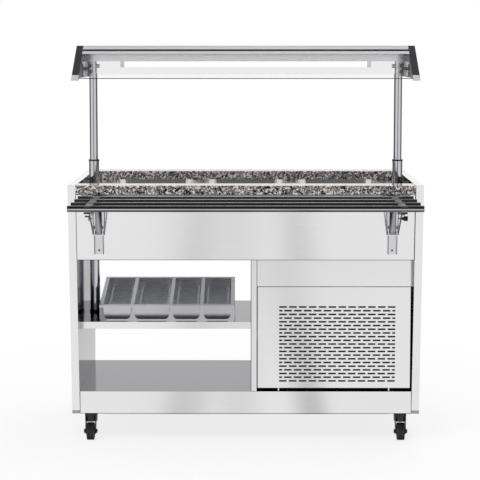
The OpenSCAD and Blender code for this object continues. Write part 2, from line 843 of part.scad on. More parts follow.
// A channel arm, open below, with saddles for the tubes and its hinge pin at the wall
module tray_arm() {
    back = hinge_y + 8;
    difference() {
        union() {
            translate([-arm_w / 2, arm_front, arm_low]) cube([arm_w, back - arm_front, arm_top - arm_low]);
            translate([0, hinge_y, hinge_z]) rod_x(-bracket_w / 2 - 1, bracket_w / 2 + 1, pivot_r);
        }
        difference() {
            translate([-arm_w / 2 + arm_wall, arm_front + arm_wall, arm_low - eps])
                cube([arm_w - 2 * arm_wall, back - arm_front, arm_top - arm_wall - arm_low + eps]);
            translate([0, hinge_y, hinge_z]) rod_x(-arm_w, arm_w, pivot_r);
        }
        for (i = [0 : rail_count - 1]) translate([0, rail_y0 - i * rail_pitch, rail_z])
            rod_x(-arm_w, arm_w, rail_d / 2 + slip);
    }
}

module tray_arms() {
    color(steel) in_frame() for (x = [-bracket_x, bracket_x]) translate([x, 0, 0]) tray_arm();
}

module both_in_x() {
    children();
    mirror([1, 0, 0]) children();
}

// A stay: a V of two splayed legs and a tapering channel between them, from the bar that turns in the
// bracket up to the pin that the arm rests on
module tray_stay(side) {
    channel_d = 4;
    web = 1.2;
    foot_w = bracket_w - 2 * bracket_flange - 4;
    head_w = 7;
    color(bright) in_frame() translate([side * bracket_x, 0, 0]) difference() {
        union() {
            both_in_x() hull() {
                translate([0, stay_y, stay_z])
                    rod_x(stay_foot_x, stay_foot_x + stay_t, stay_w, $fn = 24);
                translate([0, stay_pin_y, stay_pin_z])
                    rod_x(stay_head_x, stay_head_x + stay_t, stay_w, $fn = 24);
            }
            translate([0, stay_y, stay_z]) rod_x(-stay_foot_x - 1, stay_foot_x + 1, pivot_r);
            translate([0, stay_pin_y, stay_pin_z]) rod_x(-stay_head_x - 1, stay_head_x + 1, pivot_r);
            translate([0, stay_y, stay_z]) rotate([90 + stay_a, 0, 0]) difference() {
                linear_extrude(channel_d) polygon([
                    [-foot_w / 2, 2], [foot_w / 2, 2], [head_w / 2, stay_l - 2], [-head_w / 2, stay_l - 2]]);
                translate([0, 0, web]) linear_extrude(channel_d) polygon([
                    [-foot_w / 2 + 2 * web, -eps], [foot_w / 2 - 2 * web, -eps],
                    [head_w / 2 - web, stay_l], [-head_w / 2 + web, stay_l]]);
            }
        }
        translate([0, latch_y, latch_z]) rod_x(side * stay_foot_x, side * 60, latch_r + run);
    }
}

module left_tray_stay() {
    tray_stay(-1);
}

module right_tray_stay() {
    tray_stay(1);
}

// The left latch is a bent steel tab, the right one a black pull knob; their stems run in the stays' legs
module left_latch() {
    color(steel) in_frame() translate([-bracket_x - latch_face - latch_gap, latch_y, latch_z])
        rotate([-20, 0, 0]) union() {
            rod_x(-1, latch_stem, latch_r);
            translate([-3, -7, -8]) cube([3, 14, 16]);
            translate([-15, -7, 5]) cube([13, 14, 3]);
        }
}

module right_latch() {
    color(black) in_frame() translate([bracket_x + latch_face + latch_gap, latch_y, latch_z]) union() {
        rod_x(-latch_stem, 1, latch_r);
        rod_x(0, 7, 5);
        rod_x(6, 19, 8);
    }
}

// ---- Machine bay ----

comp_x = in_x - 124;
comp_y = 110;

module compressor() {
    shell_r = 66;
    base_t = 3;
    color(black) in_frame() translate([comp_x, comp_y, deck_z]) union() {
        translate([-85, -70, 0]) cube([170, 140, base_t]);
        for (x = [-1, 1], y = [-1, 1]) translate([x * 60, y * 45, 0]) cylinder(h = 16, r = 9);
        translate([-72, -57, 12]) cube([144, 114, base_t]);
        translate([0, 0, 14]) rotate_extrude($fn = 48) polygon([
            [0, 0], [shell_r - 14, 0], [shell_r - 3, 8], [shell_r, 24], [shell_r, 70], [shell_r + 3, 73],
            [shell_r + 3, 79], [shell_r, 82], [shell_r - 2, 118], [shell_r - 16, 138], [24, 148], [0, 150]]);
        translate([shell_r - 4, -22, 60]) cube([26, 44, 52]);
    }
}

cond_w = 280;
cond_h = 250;
cond_d = 44;
cond_y = bay_front + 42;

// Fins on copper tubes between two end plates, standing on the deck behind the grille
module condenser() {
    fins = 26;
    fin_t = 1;
    rows = 6;
    color([0.7, 0.7, 0.7]) in_frame() translate([grille_mid - cond_w / 2, cond_y, deck_z]) union() {
        for (i = [0 : fins]) translate([i * (cond_w - fin_t) / fins, 0, i % fins == 0 ? 0 : 12])
            cube([fin_t, cond_d, i % fins == 0 ? cond_h : cond_h - 14]);
        for (i = [0 : rows - 1], y = [cond_d * 0.28, cond_d * 0.72])
            translate([0, y, 32 + i * (cond_h - 60) / (rows - 1)]) rod_x(0, cond_w, 4.5);
        for (x = [0, cond_w - 16]) translate([x, 0, 0]) cube([16, cond_d, 2]);
    }
}

fan_z = deck_z + 140;
fan_x = grille_mid;
fan_y = cond_y + cond_d + 34;
fan_r = 100;
shaft_r = 4;

module fan_motor() {
    motor_r = 36;
    color(black) in_frame() translate([fan_x, fan_y, fan_z]) union() {
        rod_y(14, 66, motor_r);
        rod_y(-12, 20, shaft_r);
        translate([-20, 24, -(fan_z - deck_z)]) cube([40, 30, fan_z - deck_z]);
        translate([-45, 14, -(fan_z - deck_z)]) cube([90, 60, 3]);
    }
}

module condenser_fan() {
    blades = 5;
    hub_r = 26;
    color([0.6, 0.6, 0.6]) in_frame() translate([fan_x, fan_y, fan_z]) difference() {
        union() {
            rod_y(-13, 10, hub_r);
            for (i = [0 : blades - 1]) rotate([0, i * 360 / blades, 0])
                translate([hub_r - 4, 0, 0]) rotate([28, 0, 0])
                    translate([0, -1, -24]) cube([fan_r - hub_r, 2, 48]);
        }
        rod_y(-14, 12, shaft_r + run);
    }
}

// The drain: a flanged spigot in the well's floor and a pipe that ends in the machine bay
module drain_pipe() {
    flange_t = 2;
    low = foam_z - 99.5;
    color(bright) in_frame() translate([drain_x, 0, 0]) difference() {
        union() {
            translate([0, 0, well_z]) cylinder(h = flange_t, r = drain_r + 9);
            translate([0, 0, low]) cylinder(h = well_z - low + flange_t, r = drain_r);
            translate([0, 0, foam_z - 9]) cylinder(h = 9, r = drain_r + 8, $fn = 6);
        }
        translate([0, 0, low - eps])
            cylinder(h = well_z - low + flange_t + 2 * eps, r = drain_r - drain_wall);
    }
}

// A flush appliance inlet with three contact blades
module mains_inlet() {
    flange = 5;
    color(black) in_frame() translate([inlet_x, deck_back, inlet_z]) union() {
        difference() {
            union() {
                translate([-inlet_w / 2 - flange, 0, -inlet_h / 2 - flange])
                    cube([inlet_w + 2 * flange, 3, inlet_h + 2 * flange]);
                translate([-inlet_w / 2 + slip, -22, -inlet_h / 2 + slip])
                    cube([inlet_w - 2 * slip, 23, inlet_h - 2 * slip]);
            }
            translate([-inlet_w / 2 + 3, -16, -inlet_h / 2 + 3]) cube([inlet_w - 6, 20, inlet_h - 6]);
        }
        for (p = [[-7, -3], [7, -3], [0, 3]]) translate([p[0] - 1, -17, p[1] - 2]) cube([2, 16, 4]);
    }
}

knob_x = -38;
knob_bore_r = 3;
rocker_x = 40;
rocker_w = 20;
rocker_h = 28;

// The black control panel: a flange outside the apron, a body behind it, a rocker well and a knob's bore
module control_panel() {
    color(black) in_frame() on_rear_apron(control_x, control_z) difference() {
        union() {
            translate([-control_w / 2, 0, -control_h / 2]) cube([control_w, control_flange, control_h]);
            translate([-control_w / 2 + 5, -control_depth, -control_h / 2 + 5])
                cube([control_w - 10, control_depth + 1, control_h - 10]);
        }
        translate([rocker_x - rocker_w / 2 - 1, -12, -rocker_h / 2 - 1])
            cube([rocker_w + 2, 20, rocker_h + 2]);
        translate([rocker_x, -3, 0]) rod_x(-rocker_w / 2 - 3, rocker_w / 2 + 3, 1.5 + run);
        translate([knob_x, 0, 0]) rod_y(-18, 5, knob_bore_r + run);
    }
}

module thermostat_knob() {
    color([0.75, 0.75, 0.76]) in_frame() on_rear_apron(control_x, control_z)
        translate([knob_x, control_flange + slip, 0]) union() {
            rod_y(0, 10, 19);
            rod_y(9, 12, 15);
            rod_y(-18, 1, knob_bore_r);
            translate([-2, 9, 2]) cube([4, 4, 13]);
        }
}

// The rocker turns on two stub pins; it is drawn in its off position
module mains_switch() {
    tip = 8;
    color([0.5, 0.05, 0.05]) in_frame() on_rear_apron(control_x, control_z)
        translate([rocker_x, -3, 0]) rotate([tip, 0, 0]) union() {
            plate_yz(-rocker_w / 2, rocker_w, [
                [-3, -6], [-3, 6], [5, rocker_h / 2 - 1], [9, rocker_h / 2 - 1], [6, 0],
                [9, -rocker_h / 2 + 1], [5, -rocker_h / 2 + 1]]);
            rod_x(-rocker_w / 2 - 2.5, rocker_w / 2 + 2.5, 1.5);
        }
}

// ---- Casters ----

caster_at = [[-1, -1], [1, -1], [-1, 1], [1, 1]];

module at_caster(i) {
    translate([caster_at[i][0] * caster_x, caster_at[i][1] * caster_y, 0]) children();
}

module caster_plates() {
    plate = 60;
    plate_t = 3;
    color(black) in_frame() for (i = [0 : 3]) at_caster(i) union() {
        translate([-plate / 2, -plate / 2, base_h - plate_t]) cube([plate, plate, plate_t]);
        translate([0, 0, race_z]) cylinder(h = base_h - plate_t - race_z + eps, r = 21);
        translate([0, 0, race_z - 10]) cylinder(h = 11, r = king_r);
        translate([0, 0, race_z - 12.5]) cylinder(h = 2.5, r = king_r + 3);
    }
}

// The fork hangs on the king pin; the wheel trails towards the guest's side
module caster_fork(i) {
    crown_z = race_z - 8;
    crown_t = 7.6;
    wheel_z = wheel_d / 2;
    color(black) in_frame() at_caster(i) difference() {
        union() {
            translate([0, 0, crown_z]) cylinder(h = crown_t, r = 22);
            both_in_x() plate_yz(fork_in, fork_t, [
                [-18, crown_z + crown_t], [12, crown_z + crown_t], [12, crown_z - 8],
                [-trail + 12, wheel_z], [-trail + 7, wheel_z - 9], [-trail - 7, wheel_z - 9],
                [-trail - 12, wheel_z], [-22, crown_z - 8]]);
            translate([-fork_in - fork_t, -18, crown_z]) cube([2 * (fork_in + fork_t), 30, 3]);
            translate([0, -trail, wheel_z]) rod_x(-fork_in - fork_t - 2, fork_in + fork_t + 2, axle_r);
            both_in_x() translate([0, -trail, wheel_z])
                rod_x(fork_in + fork_t - 0.5, fork_in + fork_t + 5, 7, $fn = 6);
        }
        translate([0, 0, crown_z - eps]) cylinder(h = crown_t + 2 * eps, r = king_r + run);
    }
}

module caster_wheel(i) {
    hub_w = 2 * fork_in - 1;
    edge = 4;
    color([0.1, 0.1, 0.1]) in_frame() at_caster(i) translate([0, -trail, wheel_d / 2])
        rotate([0, 90, 0]) rotate_extrude($fn = 64) polygon([
            [axle_r + run, -hub_w / 2], [10, -hub_w / 2], [11, -wheel_w / 2 + 3], [20, -wheel_w / 2 + 3],
            [21, -wheel_w / 2], [wheel_d / 2 - edge, -wheel_w / 2], [wheel_d / 2, -wheel_w / 2 + edge],
            [wheel_d / 2, wheel_w / 2 - edge], [wheel_d / 2 - edge, wheel_w / 2], [21, wheel_w / 2],
            [20, wheel_w / 2 - 3], [11, wheel_w / 2 - 3], [10, hub_w / 2], [axle_r + run, hub_w / 2]]);
}

module caster_fork_fl() {
    caster_fork(0);
}

module caster_fork_fr() {
    caster_fork(1);
}

module caster_fork_bl() {
    caster_fork(2);
}

module caster_fork_br() {
    caster_fork(3);
}

module caster_wheel_fl() {
    caster_wheel(0);
}

module caster_wheel_fr() {
    caster_wheel(1);
}

module caster_wheel_bl() {
    caster_wheel(2);
}

module caster_wheel_br() {
    caster_wheel(3);
}

// ---- Cutlery insert ----

insert_x = (divider_x - in_x) / 2 + 3;
insert_y = shelf_front + 14;
insert_wall = 1.2;
insert_widths = [96, 122, 96, 96];
insert_web = 10;

function sum_to(v, n) = n == 0 ? 0 : v[n - 1] + sum_to(v, n - 1);

// A trough with round lower corners, along +Y
module trough(w, l, h, r) {
    flank = 2;
    rotate([90, 0, 0]) translate([0, 0, -l]) linear_extrude(l) {
        polygon([[0, 0], [w, 0], [w - flank, -h + r], [flank, -h + r]]);
        translate([flank + r, -h]) square([w - 2 * (flank + r), h]);
        for (x = [flank + r, w - flank - r]) translate([x, -h + r]) circle(r, $fn = 32);
    }
}

// Four troughs hang in a sloping rim; two cheeks at its sides stand on the shelf
module cutlery_insert() {
    total = sum_to(insert_widths, 4) + 3 * insert_web;
    x0 = -total / 2;
    trough_l = insert_l - 24;
    rise = insert_l * sin(insert_tilt);
    foot_y = insert_l * cos(insert_tilt);
    front_z = insert_h * cos(insert_tilt) + 1;
    color(steel) in_frame() translate([insert_x, insert_y, shelf_z]) union() {
        translate([0, 0, front_z]) rotate([insert_tilt, 0, 0]) difference() {
            union() {
                translate([-insert_w / 2, 0, -insert_wall]) cube([insert_w, insert_l, insert_wall]);
                translate([-insert_w / 2, 0, -7]) cube([insert_w, insert_wall, 7]);
                translate([-insert_w / 2, insert_l - insert_wall, -7]) cube([insert_w, insert_wall, 7]);
                for (i = [0 : 3])
                    translate([x0 + sum_to(insert_widths, i) + i * insert_web, 12, 0])
                        trough(insert_widths[i], trough_l, insert_h, 16);
            }
            for (i = [0 : 3])
                translate([x0 + sum_to(insert_widths, i) + i * insert_web + insert_wall, 12 + insert_wall, 0])
                    translate([0, 0, eps])
                        trough(insert_widths[i] - 2 * insert_wall, trough_l - 2 * insert_wall,
                            insert_h + eps - insert_wall, 16 - insert_wall);
        }
        for (x = [-insert_w / 2, insert_w / 2 - insert_wall]) plate_yz(x, insert_wall, [
            [16, 0], [foot_y - 4, 0], [foot_y - 4, front_z + rise - insert_wall - 0.6],
            [16, front_z + 16 * tan(insert_tilt) - insert_wall - 0.6]]);
    }
}

left_side_panel();
right_side_panel();
side_panel_shoes();
deck();
mid_shelf();
divider();
front_apron();
rear_apron();
bay_ceiling();
machine_upper_panel();
rear_service_panel();
well_liner();
well_insulation();
pan_bars();
stone_rails();
post_sleeves();
post_guide_rings();
sleeve_feet();
compressor();
condenser();
fan_motor();
drain_pipe();
mains_inlet();
control_panel();
caster_plates();
tray_wall_brackets();
grille_panel();
thermostat_knob();
mains_switch();
canopy_end_plates();
canopy_corner_blocks();
canopy_top_panel();
canopy_top_profiles();
canopy_gaskets();
front_glass();
rear_glass();
lamp_housing();
lamp_tube();
canopy_posts();
left_wing_screw();
right_wing_screw();
tray_tubes();
tray_arms();
left_tray_stay();
right_tray_stay();
left_latch();
right_latch();
condenser_fan();
cutlery_insert();
food_pan_left();
food_pan_middle();
food_pan_right();
caster_fork_fl();
caster_fork_fr();
caster_fork_bl();
caster_fork_br();
caster_wheel_fl();
caster_wheel_fr();
caster_wheel_bl();
caster_wheel_br();
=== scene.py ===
"""Mobile refrigerated salad bar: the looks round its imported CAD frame.

Everything is in metres, with +Z up and the guests on the -Y side."""

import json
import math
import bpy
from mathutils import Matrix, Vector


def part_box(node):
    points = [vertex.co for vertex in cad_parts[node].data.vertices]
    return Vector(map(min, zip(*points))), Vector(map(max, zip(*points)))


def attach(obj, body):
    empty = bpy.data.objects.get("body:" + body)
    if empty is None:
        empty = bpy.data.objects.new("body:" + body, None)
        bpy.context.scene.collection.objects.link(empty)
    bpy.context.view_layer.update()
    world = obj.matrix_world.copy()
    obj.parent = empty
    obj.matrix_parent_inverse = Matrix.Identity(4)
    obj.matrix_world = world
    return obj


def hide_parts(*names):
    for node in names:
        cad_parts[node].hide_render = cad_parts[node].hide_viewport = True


bl_info = {
    "name": "Mobile salad bar",
    "version": (1, 0, 0),
    "blender": (4, 5, 0),
    "location": "View3D > Sidebar > Salad bar",
    "description": "Dresses the salad bar's CAD frame, adds its small parts and sets up the studio",
    "category": "Object",
}

import bmesh
import bpy
from mathutils import Vector

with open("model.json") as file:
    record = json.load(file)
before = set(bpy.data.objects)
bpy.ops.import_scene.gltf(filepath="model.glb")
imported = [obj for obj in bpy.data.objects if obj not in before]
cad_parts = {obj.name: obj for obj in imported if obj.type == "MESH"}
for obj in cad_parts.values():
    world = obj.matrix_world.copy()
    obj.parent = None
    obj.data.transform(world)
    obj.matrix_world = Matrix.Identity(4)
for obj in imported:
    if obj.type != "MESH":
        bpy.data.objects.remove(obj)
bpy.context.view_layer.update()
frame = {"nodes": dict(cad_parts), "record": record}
NODES = frame["nodes"]
NODE_BODY = {n: b for b, ns in frame["record"]["behaviour"]["bodies"].items() for n in ns}
NODE_SLOT = {s["node"]: s["material_slot"] for s in frame["record"]["subparts"]}
PIVOT = {j["name"]: Vector(j["pos_m"]) for j in frame["record"]["behaviour"]["joints"] if "pos_m" in j}
MM = 0.001

# The CAD model's places that the added parts follow
WORKTOP_Z = 0.882
HALF_DEPTH = 0.36  # of the cabinet at the worktop
LEAN = 80 / 786  # the apron's way back per metre down
BRACKET_X = 0.488
BRACKET_BASE = 3 * MM
BRACKET_HOLES_Z = {"upper": 0.732, "lower": 0.664}
BRACKET_STRIP_TOP = 0.714
CASTERS = ("fl", "fr", "bl", "br")


# ---- Settings ----

def colour(name, hex_code, note):
    """A colour property, whose default is an sRGB hex value."""
    return bpy.props.FloatVectorProperty(
        name=name, description=note, subtype="COLOR", size=3, min=0, max=1, default=linear(hex_code))


def length(name, mm, note):
    """A length property, whose default is given in millimetres."""
    return bpy.props.FloatProperty(name=name, description=note, default=mm * MM, min=0, unit="LENGTH")


def linear(hex_code):
    """The linear RGB of an sRGB hex value."""
    parts = [int(hex_code[i:i + 2], 16) / 255 for i in (0, 2, 4)]
    return tuple(c / 12.92 if c <= 0.04045 else ((c + 0.055) / 1.055) ** 2.4 for c in parts)


class SaladBarFinishes(bpy.types.PropertyGroup):
    steel: colour("Stainless steel", "E6E6E7", "Brushed sheet of the cabinet")
    tube: colour("Polished tube", "C6C6CA", "Posts and tray tubes")
    drawn: colour("Drawn steel", "D3D4D7", "Food pans, well and cutlery insert")
    stay: colour("Stays and brackets", "CFCFD1", "Brushed bar of the tray's stays and brackets")
    anodised: colour("Anodised aluminium", "C6C7C9", "Canopy profiles")
    stone_ground: colour("Granite ground", "8B8583", "Feldspar between the grains")
    stone_light: colour("Granite light grains", "E2D9D5", "Quartz grains")
    stone_brown: colour("Granite brown grains", "5C5756", "Grey-brown grains")
    stone_dark: colour("Granite dark grains", "1A1718", "Mica grains")
    plastic: colour("Black plastic", "161617", "Guide rings, feet, knobs and plugs")
    charcoal: colour("End plates", "2F2D2F", "Pebbled canopy end plates")
    # The steel inside is smooth and mirror-bright; its tint, darker than the sheet outside, is painted shade
    shaded: colour("Steel inside, painted shade", "97969B", "Mirror-bright sheet of the deck, shelf and inner walls")
    # A still darker tint, painted shade, for the inner face of the right side panel beside the machine bay
    bay: colour("Machine bay side, painted shade", "77757A", "Inner face of the right side panel")
    shoe: colour("Side panel shoes", "A3A0AC", "Grey caps under the side panels")
    glass: colour("Glass", "FEFDFD", "Clear float glass")
    lamp: colour("Lamp", "FFF2DF", "Lit tube, warm white")
    tyre: colour("Tyres", "1D1D1F", "Solid rubber tread")
    hub: colour("Wheel hubs", "4A4A4D", "Moulded hub inside the tyre")
    fins: colour("Condenser fins", "A9A9A9", "Mill-finished aluminium")
    powder: colour("Powder coat", "1B1B1D", "Black coated steel, screws and pins")
    # The gaskets' own black, which also serves as painted shade in the joint lines, the brackets' edge lines
    # and the sheet behind the grille's slots
    rubber: colour("Gaskets", "0F0F10", "Rubber profiles, joint lines and filter mat")
    knob: colour("Knobs", "BFC0C2", "Grey thermostat knob")
    rocker: colour("Mains switch", "8E1512", "Red translucent rocker")
    foam: colour("Insulation", "E9DDB0", "Foam round the cold well")
    floor: colour("Studio floor", "F4F4F4", "Pale paint under the cabinet")


class SaladBarSizes(bpy.types.PropertyGroup):
    stone_edge: length("Stone edge", 3, "Radius of the eased edges of the granite")
    panel_edge: length("Panel edge", 1.5, "Radius of the folds of the side panels and the apron")
    sheet_edge: length("Sheet edge", 0.4, "Radius of the edges of thin sheet")
    end_edge: length("End plate edge", 2, "Radius of the edges of the canopy's end plates")
    # The dark line is painted shadow, standing for the shade in the gap where two sheets meet
    seam: length("Joint line", 1.6, "Width of the dark line where two sheets meet")
    screw_head: length("Screw head", 3.2, "Radius of the heads of the bracket screws")
    pin: length("Stay pin", 3.4, "Radius of the pins at the stays' lower ends")
    pin_length: length("Stay pin length", 37, "Length of those pins")
    caster_head: length("Caster head", 21.5, "Radius of the cover over each caster's swivel race")
    head_gap: length("Caster head gap", 1.5, "Gap from that cover to the wheel, and to the fork's top face")
    hub_share: bpy.props.FloatProperty(
        name="Hub share", description="Hub radius as a share of the wheel's", default=0.66, min=0.3, max=0.9)


class SaladBarStage(bpy.types.PropertyGroup):
    camera_y: bpy.props.FloatProperty(
        name="Camera distance", description="Camera's place along Y", default=-5.4396, unit="LENGTH")
    camera_z: bpy.props.FloatProperty(
        name="Camera height", description="Height of the camera above the floor", default=1.3379,
        unit="LENGTH")
    pitch: bpy.props.FloatProperty(
        name="Pitch", description="How far the camera looks down", default=math.radians(5.688),
        unit="ROTATION")
    yaw: bpy.props.FloatProperty(
        name="Yaw", description="How far the camera looks to the left", default=math.radians(0.203),
        unit="ROTATION")
    lens: bpy.props.FloatProperty(
        name="Lens", description="Focal length on a 36 mm sensor, in millimetres", default=119.91)
    shift: bpy.props.FloatProperty(
        name="Shift", description="Lens shift, as a share of the frame", default=-0.07)


# ---- Materials ----

def new_material(name):
    """An empty node material and its tree."""
    material = bpy.data.materials.new(name)
    material.use_nodes = True
    material.node_tree.nodes.clear()
    return material, material.node_tree


def add(tree, kind, sockets=None, **settings):
    """Adds a node, sets its properties, and fills its inputs with values or links."""
    node = tree.nodes.new(kind)
    for name, value in settings.items():
        setattr(node, name, value)
    for name, value in (sockets or {}).items():
        if isinstance(value, bpy.types.NodeSocket):
            tree.links.new(value, node.inputs[name])
        else:
            node.inputs[name].default_value = value
    return node


def rgba(value):
    return (*value[:3], 1.0)


def pattern_space(tree, stretch):
    """Object coordinates, scaled so that a texture of scale 1 has a period of stretch, in millimetres."""
    coords = add(tree, "ShaderNodeTexCoord")
    scale = [1 / (MM * s) for s in stretch]
    mapping = add(tree, "ShaderNodeMapping", {"Vector": coords.outputs["Object"], "Scale": scale})
    return mapping.outputs["Vector"]


def brushed(name, tint, grain, rough=(0.11, 0.17), bump=0.05, metallic=1.0, edge=1.0):
    """Stainless steel 1.4301, belt-brushed: fine parallel scratches along grain, with the faint smears that
    wiping leaves. The real sheet's scratches are 0.2 mm apart, and are drawn at 1.2 mm so that they show.
    An edge below 1 dims what the sheet mirrors at a grazing angle."""
    material, tree = new_material(name)
    stretch = [160 if axis == grain else 1.2 for axis in "xyz"]
    scratch = add(tree, "ShaderNodeTexNoise", {
        "Vector": pattern_space(tree, stretch), "Scale": 1.0, "Detail": 3.0, "Roughness": 0.6}).outputs["Fac"]
    smear = add(tree, "ShaderNodeTexNoise", {
        "Vector": pattern_space(tree, (260, 260, 190)), "Scale": 1.0, "Detail": 3.0}).outputs["Fac"]
    mixed = add(tree, "ShaderNodeMath", {0: scratch, 1: smear, 2: 0.12}, operation="MULTIPLY_ADD")
    gloss = add(tree, "ShaderNodeMapRange", {
        "Value": mixed.outputs[0], "To Min": rough[0], "To Max": rough[1]})
    tone = add(tree, "ShaderNodeMix", {
        "Factor": scratch, 6: rgba([c * 0.93 for c in tint]), 7: rgba([min(1, c * 1.05) for c in tint])},
        data_type="RGBA")
    relief = add(tree, "ShaderNodeBump", {"Height": scratch, "Strength": bump, "Distance": 0.2 * MM})
    shader = add(tree, "ShaderNodeBsdfPrincipled", {
        "Base Color": tone.outputs[2], "Metallic": metallic, "Specular Tint": (edge, edge, edge, 1.0),
        "Roughness": gloss.outputs["Result"], "Normal": relief.outputs["Normal"]})
    add(tree, "ShaderNodeOutputMaterial", {"Surface": shader.outputs[0]})
    return material


def polished(name, tint, rough=(0.05, 0.1)):
    """Polished stainless tube: near mirror, with the haze of handling."""
    material, tree = new_material(name)
    haze = add(tree, "ShaderNodeTexNoise", {
        "Vector": pattern_space(tree, (45, 45, 70)), "Scale": 1.0, "Detail": 4.0})
    gloss = add(tree, "ShaderNodeMapRange", {
        "Value": haze.outputs["Fac"], "To Min": rough[0], "To Max": rough[1]})
    shader = add(tree, "ShaderNodeBsdfPrincipled", {
        "Base Color": rgba(tint), "Metallic": 1.0, "Roughness": gloss.outputs["Result"]})
    add(tree, "ShaderNodeOutputMaterial", {"Surface": shader.outputs[0]})
    return material


def moulded(name, tint, grain_mm, rough, bump=0.25, metallic=0.0):
    """Moulded plastic or powder coat: an even colour with a fine pebble that breaks the gloss. The real
    pebble is 0.1 to 0.3 mm wide, and is drawn at grain_mm so that it shows."""
    material, tree = new_material(name)
    pebble = add(tree, "ShaderNodeTexVoronoi", {
        "Vector": pattern_space(tree, [grain_mm] * 3), "Scale": 1.0}, feature="SMOOTH_F1").outputs["Distance"]
    dust = add(tree, "ShaderNodeTexNoise", {
        "Vector": pattern_space(tree, (30, 30, 30)), "Scale": 1.0, "Detail": 3.0}).outputs["Fac"]
    gloss = add(tree, "ShaderNodeMapRange", {"Value": dust, "To Min": rough - 0.05, "To Max": rough + 0.08})
    tone = add(tree, "ShaderNodeMix", {
        "Factor": dust, 6: rgba([c * 0.85 for c in tint]),
        7: rgba([min(1, c * 1.15 + 0.002) for c in tint])}, data_type="RGBA")
    relief = add(tree, "ShaderNodeBump", {
        "Height": pebble, "Strength": bump, "Distance": grain_mm * MM * 0.2})
    shader = add(tree, "ShaderNodeBsdfPrincipled", {
        "Base Color": tone.outputs[2], "Metallic": metallic,
        "Roughness": gloss.outputs["Result"], "Normal": relief.outputs["Normal"]})
    add(tree, "ShaderNodeOutputMaterial", {"Surface": shader.outputs[0]})
    return material


def granite(name, ground, light, brown, dark):
    """Polished granite: grains of 4 to 7 mm, pinkish feldspar with quartz and mica, under a mirror polish."""
    material, tree = new_material(name)
    warp = add(tree, "ShaderNodeTexNoise", {
        "Vector": pattern_space(tree, (6, 6, 6)), "Scale": 1.0, "Detail": 2.0})
    layers = []
    for size in (7.0, 4.0):
        space = pattern_space(tree, (size,) * 3)
        jitter = add(tree, "ShaderNodeVectorMath", {0: space, 1: warp.outputs["Color"]}, operation="ADD")
        cell = add(tree, "ShaderNodeTexVoronoi", {"Vector": jitter.outputs[0], "Scale": 1.0})
        layers.append(add(tree, "ShaderNodeSeparateColor", {"Color": cell.outputs["Color"]}))
    coarse = add(tree, "ShaderNodeValToRGB", {"Fac": layers[0].outputs[0]})
    stops(coarse, [(0.0, dark), (0.2, brown), (0.36, ground), (0.66, light), (0.88, ground)])
    fine = add(tree, "ShaderNodeValToRGB", {"Fac": layers[1].outputs[1]})
    stops(fine, [(0.0, dark), (0.24, brown), (0.36, light), (0.6, ground)])
    pick = add(tree, "ShaderNodeMath", {0: layers[1].outputs[2], 1: 0.55}, operation="GREATER_THAN")
    tone = add(tree, "ShaderNodeMix", {
        "Factor": pick.outputs[0], 6: coarse.outputs[0], 7: fine.outputs[0]}, data_type="RGBA")
    gloss = add(tree, "ShaderNodeMapRange", {"Value": layers[1].outputs[0], "To Min": 0.08, "To Max": 0.16})
    shader = add(tree, "ShaderNodeBsdfPrincipled", {
        "Base Color": tone.outputs[2], "Roughness": gloss.outputs["Result"],
        "IOR": 1.5, "Coat Weight": 0.3, "Coat Roughness": 0.03})
    add(tree, "ShaderNodeOutputMaterial", {"Surface": shader.outputs[0]})
    return material


def stops(ramp, pairs):
    """Sets a colour ramp's stops, stepped from one to the next."""
    band = ramp.color_ramp
    band.interpolation = "CONSTANT"
    while len(band.elements) < len(pairs):
        band.elements.new(1.0)
    for element, (place, tint) in zip(band.elements, pairs):
        element.position = place
        element.color = rgba(tint)


def clear_glass(name, tint):
    """Toughened float glass: clear, with faint wipe marks, and it lets the lamps' light through."""
    material, tree = new_material(name)
    wipe = add(tree, "ShaderNodeTexNoise", {
        "Vector": pattern_space(tree, (320, 320, 120)), "Scale": 1.0, "Detail": 2.0})
    gloss = add(tree, "ShaderNodeMapRange", {"Value": wipe.outputs["Fac"], "To Min": 0.0, "To Max": 0.03})
    pane = add(tree, "ShaderNodeBsdfPrincipled", {
        "Base Color": rgba(tint), "Roughness": gloss.outputs["Result"], "IOR": 1.35,
        "Transmission Weight": 1.0})
    through = add(tree, "ShaderNodeBsdfTransparent", {"Color": rgba([c ** 0.25 for c in tint])})
    rays = add(tree, "ShaderNodeLightPath")
    mix = add(tree, "ShaderNodeMixShader", {
        0: rays.outputs["Is Shadow Ray"], 1: pane.outputs[0], 2: through.outputs[0]})
    add(tree, "ShaderNodeOutputMaterial", {"Surface": mix.outputs[0]})
    return material


def lit_lamp(name, tint):
    """A lit fluorescent tube: opal glass that glows evenly, a little less at its ends."""
    material, tree = new_material(name)
    coords = add(tree, "ShaderNodeTexCoord")
    parts = add(tree, "ShaderNodeSeparateXYZ", {"Vector": coords.outputs["Object"]})
    along = add(tree, "ShaderNodeMath", {0: parts.outputs["X"]}, operation="ABSOLUTE")
    ends = add(tree, "ShaderNodeMapRange", {
        "Value": along.outputs[0], "From Min": 0.38, "From Max": 0.43, "To Min": 1.25, "To Max": 1.0})
    shader = add(tree, "ShaderNodeBsdfPrincipled", {
        "Base Color": rgba(tint), "Roughness": 0.3, "Emission Color": rgba(tint),
        "Emission Strength": ends.outputs["Result"]})
    add(tree, "ShaderNodeOutputMaterial", {"Surface": shader.outputs[0]})
    return material


